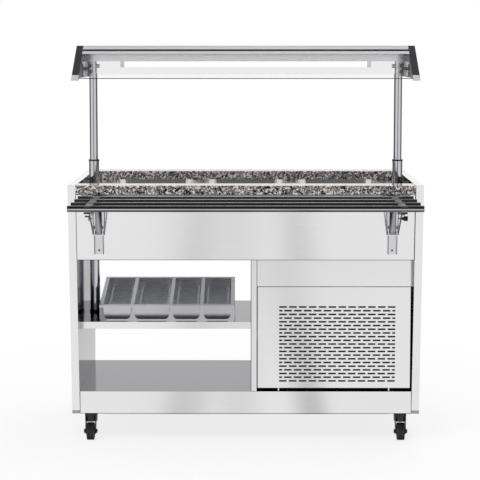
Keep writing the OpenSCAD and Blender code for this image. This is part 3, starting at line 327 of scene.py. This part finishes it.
def make_materials():
    """One material for each finish, by the record's slot, and some more for added pieces."""
    f = bpy.context.scene.salad_bar_finishes
    made = {
        # Belt brushing draws each reflection out across the scratches, here along the sheet
        "panel_steel": brushed("brushed_stainless_sheet", f.steel, "x"),
        # The same sheet brushed upright, on the side panels and the divider
        "panel_steel_upright": brushed("brushed_stainless_upright", f.steel, "z"),
        # Sheet left bright as annealed: it mirrors the bays, with hardly a scratch. Its darker tint and its
        # dimmed grazing reflection are painted shade
        "inner_steel": brushed(
            "bright_stainless_with_painted_shade", f.shaded, "x", rough=(0.07, 0.13), bump=0.01, edge=0.75),
        # The same sheet with a still darker tint and a dimmer grazing reflection, painted shade, on the right
        # panel's inner wall beside the machine bay
        "bay_steel": brushed(
            "bright_stainless_with_painted_bay_shade", f.bay, "x", rough=(0.07, 0.13), bump=0.01, edge=0.5),
        # Deep drawing leaves the soft, even sheen of the press
        "satin_steel": brushed("deep_drawn_stainless", f.drawn, "x", rough=(0.13, 0.2), bump=0.02),
        # The insert's thinner drawn trays scatter more and look pale grey
        "insert_steel": brushed("deep_drawn_stainless_insert", f.drawn, "x", rough=(0.24, 0.34), bump=0.02),
        # Polishing gives the tubes sharp dark and light bands along their length
        "bright_steel": polished("polished_stainless_tube", f.tube),
        # Bar brushed lengthways, with a soft highlight along each leg
        "stay_steel": brushed("brushed_stainless_stay", f.stay, "z"),
        # Sheared bar, coarsely brushed and dull beside the tubes; its darker tint, that of the steel inside,
        # is painted shade
        "arm_steel": brushed("brushed_stainless_arm", f.shaded, "y", rough=(0.3, 0.42)),
        # The stays' webs are satin and catch the light evenly
        "web_steel": brushed("satin_stainless_stay_web", f.tube, "z", rough=(0.5, 0.6), metallic=0.25),
        # Satin anodising spreads the light to an even pale grey, with no mirror image
        "canopy_alu": brushed(
            "satin_anodised_aluminium", f.anodised, "x", rough=(0.3, 0.4), bump=0.02, metallic=0.3),
        # Mill-rolled fins, dull from the rolling
        "fin_alu": brushed("mill_aluminium_fins", f.fins, "z", rough=(0.3, 0.45)),
        # Sawn and polished stone: grains of several tones under one clear gloss
        "stone": granite("polished_granite", f.stone_ground, f.stone_light, f.stone_brown, f.stone_dark),
        # A coarsely pebbled tool breaks the light on the ABS into a fine grain
        "end_plastic": moulded("pebbled_abs_charcoal", f.charcoal, 2.0, 0.5, bump=0.5),
        # Moulded polypropylene, a waxy half gloss
        "shoe_plastic": moulded("satin_polypropylene_grey", f.shoe, 1.0, 0.4),
        # Moulded nylon, satin black
        "black_plastic": moulded("satin_nylon_black", f.plastic, 0.8, 0.35),
        # Baked powder, with a slight orange peel
        "black_metal": moulded("powder_coated_steel_black", f.powder, 1.2, 0.42),
        # Extruded rubber, which swallows nearly all light. The same black is painted shade in the joint
        # lines, the brackets' edge lines and the sheet behind the grille's slots
        "gasket": moulded("epdm_gasket_and_painted_shade", f.rubber, 0.6, 0.7),
        # Float glass, seen by what it reflects and by its edges
        "pane": clear_glass("float_glass", f.glass),
        # Opal glass glows evenly from end to end
        "lamp": lit_lamp("lit_opal_tube", f.lamp),
        # ABS from a polished tool, glossy
        "knob_plastic": moulded("glossy_abs_grey", f.knob, 0.6, 0.2, bump=0.05),
        # Polycarbonate, glossy and deep red
        "rocker_plastic": moulded("translucent_red_polycarbonate", f.rocker, 0.6, 0.18, bump=0.03),
        # Vulcanised tread, matt from wear on the floor
        "wheel_rubber": moulded("tread_rubber", f.tyre, 0.9, 0.6, bump=0.35),
        # Moulded hub, plain and half matt
        "wheel_hub": moulded("moulded_hub_grey", f.hub, 0.8, 0.4),
        # Cut foam, matt and porous
        "foam": moulded("polyurethane_foam", f.foam, 1.5, 0.85),
    }
    return made


# The nodes whose finish isn't simply that of their slot
NODE_FINISHES = {
    "left_side_panel": ["panel_steel_upright"], "right_side_panel": ["panel_steel_upright"],
    "divider": ["panel_steel_upright"], "tray_arms": ["arm_steel"], "cutlery_insert": ["insert_steel"],
    "left_tray_stay": ["stay_steel", "web_steel"], "right_tray_stay": ["stay_steel", "web_steel"],
    "left_latch": ["stay_steel"], "tray_wall_brackets": ["stay_steel"],
}
MATERIALS = {}


def give(obj, *slots):
    """Puts materials into the object's slots, in order."""
    obj.data.materials.clear()
    for s in slots:
        obj.data.materials.append(MATERIALS[s])


# ---- Modelling ----

def clear_selection():
    if bpy.context.object is not None and bpy.context.object.mode != "OBJECT":
        bpy.ops.object.mode_set(mode="OBJECT")
    bpy.ops.object.select_all(action="DESELECT")


def activate(obj):
    clear_selection()
    obj.select_set(True)
    bpy.context.view_layer.objects.active = obj


def edit_faces(obj, test):
    """Selects, in edit mode, the faces that test accepts."""
    bpy.context.tool_settings.mesh_select_mode = (False, False, True)
    bpy.ops.mesh.select_all(action="DESELECT")
    mesh = bmesh.from_edit_mesh(obj.data)
    for face in mesh.faces:
        face.select_set(bool(test(face)))
    mesh.select_flush_mode()
    bmesh.update_edit_mesh(obj.data)


def bevel(obj, width, segments=2, angle=30):
    """A bevel modifier on the edges sharper than angle, applied."""
    activate(obj)
    step = obj.modifiers.new("Eased edges", "BEVEL")
    step.width = width
    step.segments = segments
    step.limit_method = "ANGLE"
    step.angle_limit = math.radians(angle)
    step.harden_normals = True
    bpy.ops.object.shade_smooth()
    bpy.ops.object.modifier_apply(modifier=step.name)


def settle(obj, body):
    """Applies the object's place to its mesh, and makes it ride."""
    activate(obj)
    bpy.ops.object.transform_apply(location=True, rotation=True, scale=True)
    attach(obj, body)
    return obj


def eased_copy(node, width, segments, material=None, shaded=None, inside="inner_steel"):
    """A copy of a CAD node with its doubles merged, its flat faces whole and its edges eased. It stands for
    the node. The faces that shaded accepts get the material named by inside, whose darker tint is painted
    shade."""
    activate(NODES[node])
    bpy.ops.object.duplicate()
    obj = bpy.context.object
    obj.name = node + "_eased"
    obj.parent = None
    for key in list(obj.keys()):
        del obj[key]
    bpy.ops.object.mode_set(mode="EDIT")
    bpy.ops.mesh.select_all(action="SELECT")
    bpy.ops.mesh.customdata_custom_splitnormals_clear()
    bpy.ops.mesh.remove_doubles(threshold=0.00001)
    bpy.ops.mesh.dissolve_limited(angle_limit=math.radians(0.5))
    bpy.ops.object.mode_set(mode="OBJECT")
    bevel(obj, width, segments)
    slot = NODE_SLOT[node]
    give(obj, material or slot, *([inside] if shaded else []))
    if shaded:
        for face in obj.data.polygons:
            face.material_index = int(shaded(face))
    settle(obj, NODE_BODY[node])
    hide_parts(node)
    return obj


def block(name, centre, size):
    """A box as an object of its own, with its origin at the scene's."""
    clear_selection()
    bpy.ops.mesh.primitive_cube_add(size=1, location=centre)
    obj = bpy.context.object
    obj.name = name
    obj.scale = size
    bpy.ops.object.transform_apply(location=True, rotation=True, scale=True)
    return obj


def rod(name, radius, depth, vertices, turn=(0, 0, 0)):
    """A cylinder round the scene's origin, along Z before its turn, which isn't applied yet."""
    clear_selection()
    bpy.ops.mesh.primitive_cylinder_add(vertices=vertices, radius=radius, depth=depth, rotation=turn)
    obj = bpy.context.object
    obj.name = name
    return obj


def copy_out(obj, rows):
    """Copies a modelled piece to each row's place, each copy with a mesh of its own, and makes the copies
    ride. A row holds a name, a place and a body. The model itself is then deleted."""
    made = []
    for name, place, body in rows:
        activate(obj)
        bpy.ops.object.duplicate()
        copy = bpy.context.object
        copy.name = name
        copy.location = place
        made.append(settle(copy, body))
    activate(obj)
    bpy.ops.object.delete()
    return made


class Step:
    """What the operators share."""
    bl_options = {"REGISTER", "UNDO"}


class SALADBAR_OT_finishes(Step, bpy.types.Operator):
    """Give every CAD node the finish of its material slot"""
    bl_idname = "saladbar.finishes"
    bl_label = "Finishes"

    def execute(self, context):
        MATERIALS.update(make_materials())
        for name, obj in NODES.items():
            give(obj, *NODE_FINISHES.get(name, [NODE_SLOT[name]]))
        for name in ("left_tray_stay", "right_tray_stay"):
            # The web of the stay's channel, between its legs, is the one large face that looks forward
            for face in NODES[name].data.polygons:
                face.material_index = int(face.normal.y < -0.5 and face.area > 0.0003)
        return {"FINISHED"}


class SALADBAR_OT_stone(Step, bpy.types.Operator):
    """Ease the edges of the two granite rails"""
    bl_idname = "saladbar.stone"
    bl_label = "Stone rails"

    def execute(self, context):
        eased_copy("stone_rails", context.scene.salad_bar_sizes.stone_edge, 3)
        return {"FINISHED"}


class SALADBAR_OT_sheet(Step, bpy.types.Operator):
    """Round the folds of the cabinet's sheet steel"""
    bl_idname = "saladbar.sheet"
    bl_label = "Cabinet sheet"

    def execute(self, context):
        sizes = context.scene.salad_bar_sizes
        upright = "panel_steel_upright"
        # The inner face of the left side panel gets the darker steel of painted shade
        eased_copy("left_side_panel", sizes.panel_edge, 3, upright, lambda f: f.normal.x > 0.9)
        # The right panel's inner face gets the still darker steel of painted shade
        eased_copy("right_side_panel", sizes.panel_edge, 3, upright, lambda f: f.normal.x < -0.9, "bay_steel")
        eased_copy("divider", sizes.sheet_edge, 2, upright)
        # The tops of the deck and the mid shelf get the darker steel of painted shade
        for node in ("deck", "mid_shelf"):
            eased_copy(node, sizes.sheet_edge, 2, shaded=lambda f: f.normal.z > 0.9)
        for node in ("front_apron", "rear_apron", "machine_upper_panel"):
            eased_copy(node, sizes.sheet_edge, 2)
        return {"FINISHED"}


def painted_shadow_strip(name, x0, x1, foot, head):
    """A thin dark strip of painted shadow from foot to head, both (y, z), that stands 0.3 mm out of the
    sheet. It doesn't ride yet."""
    obj = block(name, (0, 0, 0), (1, 1, 1))
    for v in obj.data.vertices:
        y, z = head if v.co.z > 0 else foot
        v.co = Vector((x0 if v.co.x < 0 else x1, y - 0.3 * MM if v.co.y < 0 else y + MM, z))
    bevel(obj, 0.1 * MM, 1)
    give(obj, "gasket")
    return obj


class SALADBAR_OT_seams(Step, bpy.types.Operator):
    """Add the dark lines of painted shadow in the joints round the apron, the deck's fascia and the divider
    """
    bl_idname = "saladbar.seams"
    bl_label = "Joint lines"

    def execute(self, context):
        wide = context.scene.salad_bar_sizes.seam
        for node in ("front_apron", "deck", "divider"):
            low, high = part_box(node)
            # The front's lower and upper ends, read from the corners within a sheet's thickness of the box
            end = [v.co for v in NODES[node].data.vertices if abs(v.co.x - low.x) < 3 * MM]
            foot = min(end, key=lambda c: (round(c.z, 3), c.y)).yz
            head = min((c for c in end if c.z > high.z - 3.5 * MM), key=lambda c: c.y).yz
            # The light leaves the gap at the right end of the apron darker than the others
            right = wide * 1.7 if node == "front_apron" else wide
            strips = [
                painted_shadow_strip("left_painted_shadow_" + node, low.x, low.x + wide, foot, head),
                painted_shadow_strip("right_painted_shadow_" + node, high.x - right, high.x, foot, head)]
            if node != "divider":
                above = foot.lerp(head, wide / (head - foot).length)
                strips.append(
                    painted_shadow_strip("lower_joint_" + node, low.x + wide, high.x - right, foot, above))
            for strip in strips:
                settle(strip, "cabinet")
        return {"FINISHED"}


class SALADBAR_OT_slot_shade(Step, bpy.types.Operator):
    """Add a black sheet behind the grille's slots: painted shade that makes the slots read dark"""
    bl_idname = "saladbar.filter"
    bl_label = "Painted shade behind the slots"

    def execute(self, context):
        low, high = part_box("grille_panel")
        # It lies just behind the sheet, inside the panel's folded edges and above the deck's fascia
        thick, sheet, side, top = 3 * MM, 1.6 * MM, 1.8 * MM, 3.5 * MM
        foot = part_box("deck")[1].z + 16.5 * MM
        size = Vector((high.x - low.x - 2 * side, thick, high.z - top - foot))
        centre = ((low.x + high.x) / 2, low.y + sheet + size.y / 2, foot + size.z / 2)
        mat = block("painted_slot_shade_sheet", centre, size)
        bevel(mat, 0.8 * MM, 2)
        give(mat, "gasket")
        settle(mat, NODE_BODY["grille_panel"])
        return {"FINISHED"}


class SALADBAR_OT_canopy(Step, bpy.types.Operator):
    """Ease the edges of the canopy's end plates"""
    bl_idname = "saladbar.canopy"
    bl_label = "Canopy"

    def execute(self, context):
        eased_copy("canopy_end_plates", context.scene.salad_bar_sizes.end_edge, 2)
        return {"FINISHED"}


class SALADBAR_OT_wheels(Step, bpy.types.Operator):
    """Model the four caster wheels, each a rubber tyre round a recessed hub"""
    bl_idname = "saladbar.wheels"
    bl_label = "Caster wheels"

    def execute(self, context):
        share = context.scene.salad_bar_sizes.hub_share
        # On both faces the hub is dished, with a boss that rises round the axle
        tread, step, boss, dish, rise = 24.9 * MM, 0.8 * MM, 10.5 * MM, 4 * MM, 6.5 * MM
        boxes = {place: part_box("caster_wheel_" + place) for place in CASTERS}
        low, high = boxes["fl"]
        radius = (high.z - low.z) / 2
        obj = rod("wheel", radius, tread, 64, (0, math.pi / 2, 0))
        bpy.ops.object.transform_apply(location=True, rotation=True, scale=True)
        bpy.ops.object.mode_set(mode="EDIT")
        edit_faces(obj, lambda f: len(f.verts) > 8)
        bpy.ops.mesh.inset(thickness=radius * (1 - share), use_individual=True)
        bpy.ops.mesh.inset(thickness=step, depth=-dish, use_individual=True)
        bpy.ops.mesh.inset(thickness=radius * share - boss, use_individual=True)
        bpy.ops.mesh.inset(thickness=step, depth=rise, use_individual=True)
        bpy.ops.object.mode_set(mode="OBJECT")
        bevel(obj, 2.8 * MM, 3, 60)
        give(obj, "wheel_rubber", "wheel_hub")
        for face in obj.data.polygons:
            off = math.hypot(face.center.y, face.center.z)
            face.material_index = int(off < radius * share - 0.5 * MM)
        rows = [("wheel_" + place, (low + high) / 2, NODE_BODY["caster_wheel_" + place])
                for place, (low, high) in boxes.items()]
        for place, wheel in zip(CASTERS, copy_out(obj, rows)):
            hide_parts("caster_wheel_" + place)
        return {"FINISHED"}


class SALADBAR_OT_caster_heads(Step, bpy.types.Operator):
    """Add the moulded cover over the swivel race of each caster"""
    bl_idname = "saladbar.caster_heads"
    bl_label = "Caster heads"

    def execute(self, context):
        sizes = context.scene.salad_bar_sizes
        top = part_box("caster_fork_fl")[1].z - sizes.head_gap
        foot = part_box("caster_wheel_fl")[1].z + sizes.head_gap
        head = rod("caster_head", sizes.caster_head, top - foot, 48)
        bevel(head, 2 * MM, 3, 60)
        give(head, "black_plastic")
        rows = []
        for place in CASTERS:
            swivel = PIVOT[f"caster_{place}_swivel"]
            centre = (swivel.x, swivel.y, (top + foot) / 2)
            rows.append(("caster_head_" + place, centre, NODE_BODY["caster_fork_" + place]))
        copy_out(head, rows)
        return {"FINISHED"}


class SALADBAR_OT_plugs(Step, bpy.types.Operator):
    """Add the black plugs at the ends of the tray slide's two arms"""
    bl_idname = "saladbar.plugs"
    bl_label = "Arm plugs"

    def execute(self, context):
        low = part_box("tray_arms")[0]
        # Each plug stands out 1.5 mm in front of its arm and 2.5 mm below it
        size = Vector((21.5, 16, 4.5)) * MM
        centre = low + Vector((0, -1.5, -2.5)) * MM + size / 2
        plug = block("arm_plug", (0, 0, 0), size)
        bevel(plug, 1.2 * MM, 3)
        give(plug, "black_plastic")
        copy_out(plug, [
            ("left_arm_plug", (-BRACKET_X, centre.y, centre.z), "tray_slide"),
            ("right_arm_plug", (BRACKET_X, centre.y, centre.z), "tray_slide")])
        return {"FINISHED"}


class SALADBAR_OT_screws(Step, bpy.types.Operator):
    """Add the button-head screws, the dark lines of painted shade along the edges and the stay pins of the
    tray's brackets
    """
    bl_idname = "saladbar.screws"
    bl_label = "Bracket screws and pins"

    def execute(self, context):
        sizes = context.scene.salad_bar_sizes
        # Dark strips of painted shade run along the outer and inner edges of each bracket
        wide = sizes.seam * 1.3
        low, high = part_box("tray_wall_brackets")
        corners = (v.co for v in NODES["tray_wall_brackets"].data.vertices if v.co.z < low.z + 3 * MM)
        foot = min(corners, key=lambda c: c.y).yz
        edge = [(foot[0] - (z - foot[1]) * LEAN, z) for z in (foot[1], BRACKET_STRIP_TOP)]
        rows = []
        for sign in (-1, 1):
            for k, x in (("outer", high.x - wide), ("inner", 2 * BRACKET_X - high.x)):
                place = (x if sign > 0 else -(x + wide), 0, 0)
                rows.append((f"bracket_edge_{sign}_{k}", place, "cabinet"))
        copy_out(painted_shadow_strip("bracket_painted_shadow", 0, wide, *edge), rows)
        pin = rod("stay_pin", sizes.pin, sizes.pin_length, 24, (0, math.pi / 2, 0))
        bpy.ops.object.transform_apply(location=True, rotation=True, scale=True)
        bevel(pin, 0.6 * MM, 2, 60)
        give(pin, "black_metal")
        copy_out(pin, [
            ("stay_pin_-1", PIVOT["left_stay_fold"], "cabinet"),
            ("stay_pin_1", PIVOT["right_stay_fold"], "cabinet")])
        radius, tall = sizes.screw_head, 2.4 * MM
        head = rod("bracket_screw", radius, tall, 32, (math.pi / 2 + math.atan(LEAN), 0, 0))
        bpy.ops.object.mode_set(mode="EDIT")
        edit_faces(head, lambda f: len(f.verts) > 8 and f.normal.z > 0)
        bpy.ops.mesh.inset(thickness=radius * 0.45)
        bpy.ops.mesh.inset(thickness=0.2 * MM, depth=-1.4 * MM)
        bpy.ops.object.mode_set(mode="OBJECT")
        bevel(head, 0.8 * MM, 3, 60)
        give(head, "black_metal")
        mid_y = (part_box("left_side_panel")[0].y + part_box("left_side_panel")[1].y) / 2
        rows = []
        for side, x in (("left", -BRACKET_X), ("right", BRACKET_X)):
            for k, z in BRACKET_HOLES_Z.items():
                # The head stands on the bracket's base, sunk by 0.1 mm so that it touches all round
                front = HALF_DEPTH - LEAN * (WORKTOP_Z - z) + BRACKET_BASE
                place = (x, mid_y - front - tall / 2 + 0.1 * MM, z)
                rows.append((f"{side}_bracket_screw_{k}", place, "cabinet"))
        copy_out(head, rows)
        return {"FINISHED"}


# ---- Studio ----

def studio_world():
    """White for the camera, an even grey for diffuse light, and a room with a dark ceiling in reflections."""
    world = bpy.data.worlds.new("studio")
    bpy.context.scene.world = world
    world.use_nodes = True
    tree = world.node_tree
    tree.nodes.clear()
    coords = add(tree, "ShaderNodeTexCoord")
    parts = add(tree, "ShaderNodeSeparateXYZ", {"Vector": coords.outputs["Generated"]})
    height = grey_ramp(
        tree, parts.outputs["Z"], -1, 1, [(0, 1), (0.62, 1), (0.72, 0.22), (0.85, 0.1), (1, 0.16)])
    # Round posts show these bands as upright lines: a dark middle where the camera stands, and dark flanks
    front = grey_ramp(tree, parts.outputs["X"], -1, 1, [
        (0, 0.2), (0.02, 1), (0.39, 1), (0.44, 0.14), (0.56, 0.14), (0.61, 1), (0.98, 1), (1, 0.2)])
    back = grey_ramp(
        tree, parts.outputs["X"], -1, 1, [(0, 0.15), (0.33, 0.15), (0.42, 1), (0.58, 1), (0.67, 0.15)])
    behind = add(tree, "ShaderNodeMapRange", {
        "Value": parts.outputs["Y"], "From Min": -0.05, "From Max": 0.05})
    sides = add(tree, "ShaderNodeMix", {
        "Factor": behind.outputs["Result"], 6: front, 7: back}, data_type="RGBA")
    seen = add(tree, "ShaderNodeMix", {
        "Factor": 1.0, 6: height, 7: sides.outputs[2]}, data_type="RGBA", blend_type="MULTIPLY")
    rays = add(tree, "ShaderNodeLightPath")
    room = add(tree, "ShaderNodeBackground", {"Color": (1, 1, 1, 1), "Strength": 0.55})
    mirror = add(tree, "ShaderNodeBackground", {"Color": seen.outputs[2], "Strength": 1.0})
    white = add(tree, "ShaderNodeBackground", {"Color": (1, 1, 1, 1), "Strength": 1.0})
    first = add(tree, "ShaderNodeMixShader", {
        0: rays.outputs["Is Glossy Ray"], 1: room.outputs[0], 2: mirror.outputs[0]})
    clear = add(tree, "ShaderNodeMath", {
        0: rays.outputs["Is Camera Ray"], 1: rays.outputs["Is Transmission Ray"]}, operation="MAXIMUM")
    last = add(tree, "ShaderNodeMixShader", {0: clear.outputs[0], 1: first.outputs[0], 2: white.outputs[0]})
    add(tree, "ShaderNodeOutputWorld", {"Surface": last.outputs[0]})


def grey_ramp(tree, value, low, high, pairs):
    """A grey that follows value, which runs from low to high, by stops of place and level."""
    fraction = add(tree, "ShaderNodeMapRange", {"Value": value, "From Min": low, "From Max": high})
    ramp = add(tree, "ShaderNodeValToRGB", {"Fac": fraction.outputs["Result"]})
    band = ramp.color_ramp
    while len(band.elements) < len(pairs):
        band.elements.new(1.0)
    for element, (place, level) in zip(band.elements, pairs):
        element.position = place
        element.color = (level, level, level, 1.0)
    return ramp.outputs[0]


def studio_floor():
    """A pale floor that keeps the shadow under the cabinet and turns white away from it."""
    clear_selection()
    bpy.ops.mesh.primitive_plane_add(size=120, location=(0, 0, 0))
    floor = bpy.context.object
    floor.name = "studio_floor"
    material, tree = new_material("studio_floor_paint")
    coords = add(tree, "ShaderNodeTexCoord")
    away = add(tree, "ShaderNodeVectorMath", {0: coords.outputs["Object"]}, operation="LENGTH")
    fade = add(tree, "ShaderNodeMapRange", {
        "Value": away.outputs["Value"], "From Min": 0.9, "From Max": 2.4}, interpolation_type="SMOOTHSTEP")
    rays = add(tree, "ShaderNodeLightPath")
    paint = add(tree, "ShaderNodeBsdfDiffuse", {"Color": rgba(bpy.context.scene.salad_bar_finishes.floor)})
    glow = add(tree, "ShaderNodeEmission", {"Color": (1, 1, 1, 1), "Strength": 1.0})
    whiteness = add(tree, "ShaderNodeMapRange", {
        "Value": fade.outputs["Result"], "To Min": 0.8, "To Max": 1.0})
    share = add(tree, "ShaderNodeMath", {
        0: whiteness.outputs["Result"], 1: rays.outputs["Is Camera Ray"]}, operation="MULTIPLY")
    mix = add(tree, "ShaderNodeMixShader", {0: share.outputs[0], 1: paint.outputs[0], 2: glow.outputs[0]})
    # In reflections the floor is lit in soft stripes, and 7 to 9.5 m out it opens onto the studio's walls
    across = add(tree, "ShaderNodeSeparateXYZ", {"Vector": coords.outputs["Object"]}).outputs["X"]
    stripes = grey_ramp(tree, across, -1.2, 1.2, [
        (0, 1), (0.3, 1), (0.36, 0.96), (0.395, 0.72), (0.42, 0.76), (0.45, 0.92), (0.485, 0.84),
        (0.51, 0.88), (0.535, 1), (0.565, 1), (0.597, 0.62), (0.613, 0.66), (0.635, 1), (0.7, 0.98), (1, 1)])
    # A mirror shows the floor darker, the more steeply its ray meets it. This follows the ray, and so the
    # height of the camera: steel seen from above turns grey
    slope = add(tree, "ShaderNodeSeparateXYZ", {
        "Vector": add(tree, "ShaderNodeNewGeometry").outputs["Incoming"]}).outputs["Z"]
    shade = grey_ramp(tree, slope, 0, 1, [(0, 1), (0.5, 1), (0.66, 0.3), (0.85, 0.16), (1, 0.16)])
    lit = add(tree, "ShaderNodeEmission", {"Color": stripes, "Strength": shade})
    open_end = add(tree, "ShaderNodeBsdfTransparent")
    edge = add(tree, "ShaderNodeMapRange", {
        "Value": away.outputs["Value"], "From Min": 7.0, "From Max": 9.5})
    mirrored = add(tree, "ShaderNodeMixShader", {
        0: edge.outputs["Result"], 1: lit.outputs[0], 2: open_end.outputs[0]})
    whole = add(tree, "ShaderNodeMixShader", {
        0: rays.outputs["Is Glossy Ray"], 1: mix.outputs[0], 2: mirrored.outputs[0]})
    add(tree, "ShaderNodeOutputMaterial", {"Surface": whole.outputs[0]})
    floor.data.materials.append(material)


def softbox(name, place, target, size, power):
    """A square area lamp that looks at target."""
    data = bpy.data.lights.new(name, "AREA")
    data.shape = "RECTANGLE"
    data.size, data.size_y = size
    data.energy = power
    lamp = bpy.data.objects.new(name, data)
    bpy.context.scene.collection.objects.link(lamp)
    lamp.location = place
    for ray in ("camera", "glossy", "transmission"):
        setattr(lamp, "visible_" + ray, False)
    lamp.rotation_euler = (Vector(target) - Vector(place)).to_track_quat("-Z", "Y").to_euler()


class SALADBAR_OT_stage(Step, bpy.types.Operator):
    """Set up the floor, the soft light and the camera at the photograph's viewing angle"""
    bl_idname = "saladbar.stage"
    bl_label = "Studio"

    def execute(self, context):
        stage = context.scene.salad_bar_stage
        context.scene.view_settings.view_transform = "Standard"
        studio_world()
        studio_floor()
        softbox("key_softbox", (-1.2, -2.6, 3.4), (0, 0, 0.7), (2.6, 1.6), 72)
        softbox("top_softbox", (0.6, 0.6, 3.6), (0, 0.1, 0.9), (2.4, 1.4), 40)
        softbox("rear_softbox", (1.0, 3.2, 2.4), (0, 0, 0.7), (2.4, 1.8), 30)
        data = bpy.data.cameras.new("camera")
        camera = bpy.data.objects.new("camera", data)
        context.scene.collection.objects.link(camera)
        data.sensor_width = 36
        data.lens = stage.lens
        data.shift_y = stage.shift
        data.clip_end = 100
        camera.location = (0, stage.camera_y, stage.camera_z)
        camera.rotation_euler = (math.pi / 2 - stage.pitch, 0, stage.yaw)
        context.scene.camera = camera
        return {"FINISHED"}


STEPS = (
    SALADBAR_OT_finishes, SALADBAR_OT_stone, SALADBAR_OT_sheet, SALADBAR_OT_seams, SALADBAR_OT_slot_shade,
    SALADBAR_OT_canopy, SALADBAR_OT_wheels, SALADBAR_OT_caster_heads, SALADBAR_OT_plugs,
    SALADBAR_OT_screws, SALADBAR_OT_stage)
GROUPS = {
    "salad_bar_finishes": SaladBarFinishes,
    "salad_bar_sizes": SaladBarSizes,
    "salad_bar_stage": SaladBarStage,
}


class SALADBAR_PT_panel(bpy.types.Panel):
    bl_label = "Salad bar"
    bl_idname = "SALADBAR_PT_panel"
    bl_space_type = "VIEW_3D"
    bl_region_type = "UI"
    bl_category = "Salad bar"

    def draw(self, context):
        for name, group in GROUPS.items():
            box = self.layout.box()
            for prop in group.__annotations__:
                box.prop(getattr(context.scene, name), prop)
        for step in STEPS:
            self.layout.operator(step.bl_idname)


def register():
    for cls in (*GROUPS.values(), *STEPS, SALADBAR_PT_panel):
        bpy.utils.register_class(cls)
    for name, group in GROUPS.items():
        setattr(bpy.types.Scene, name, bpy.props.PointerProperty(type=group))


def unregister():
    for name in GROUPS:
        delattr(bpy.types.Scene, name)
    for cls in reversed((*GROUPS.values(), *STEPS, SALADBAR_PT_panel)):
        bpy.utils.unregister_class(cls)


def main():
    register()
    for step in STEPS:
        group, name = step.bl_idname.split(".")
        getattr(getattr(bpy.ops, group), name)()


if __name__ == "__main__":
    main()
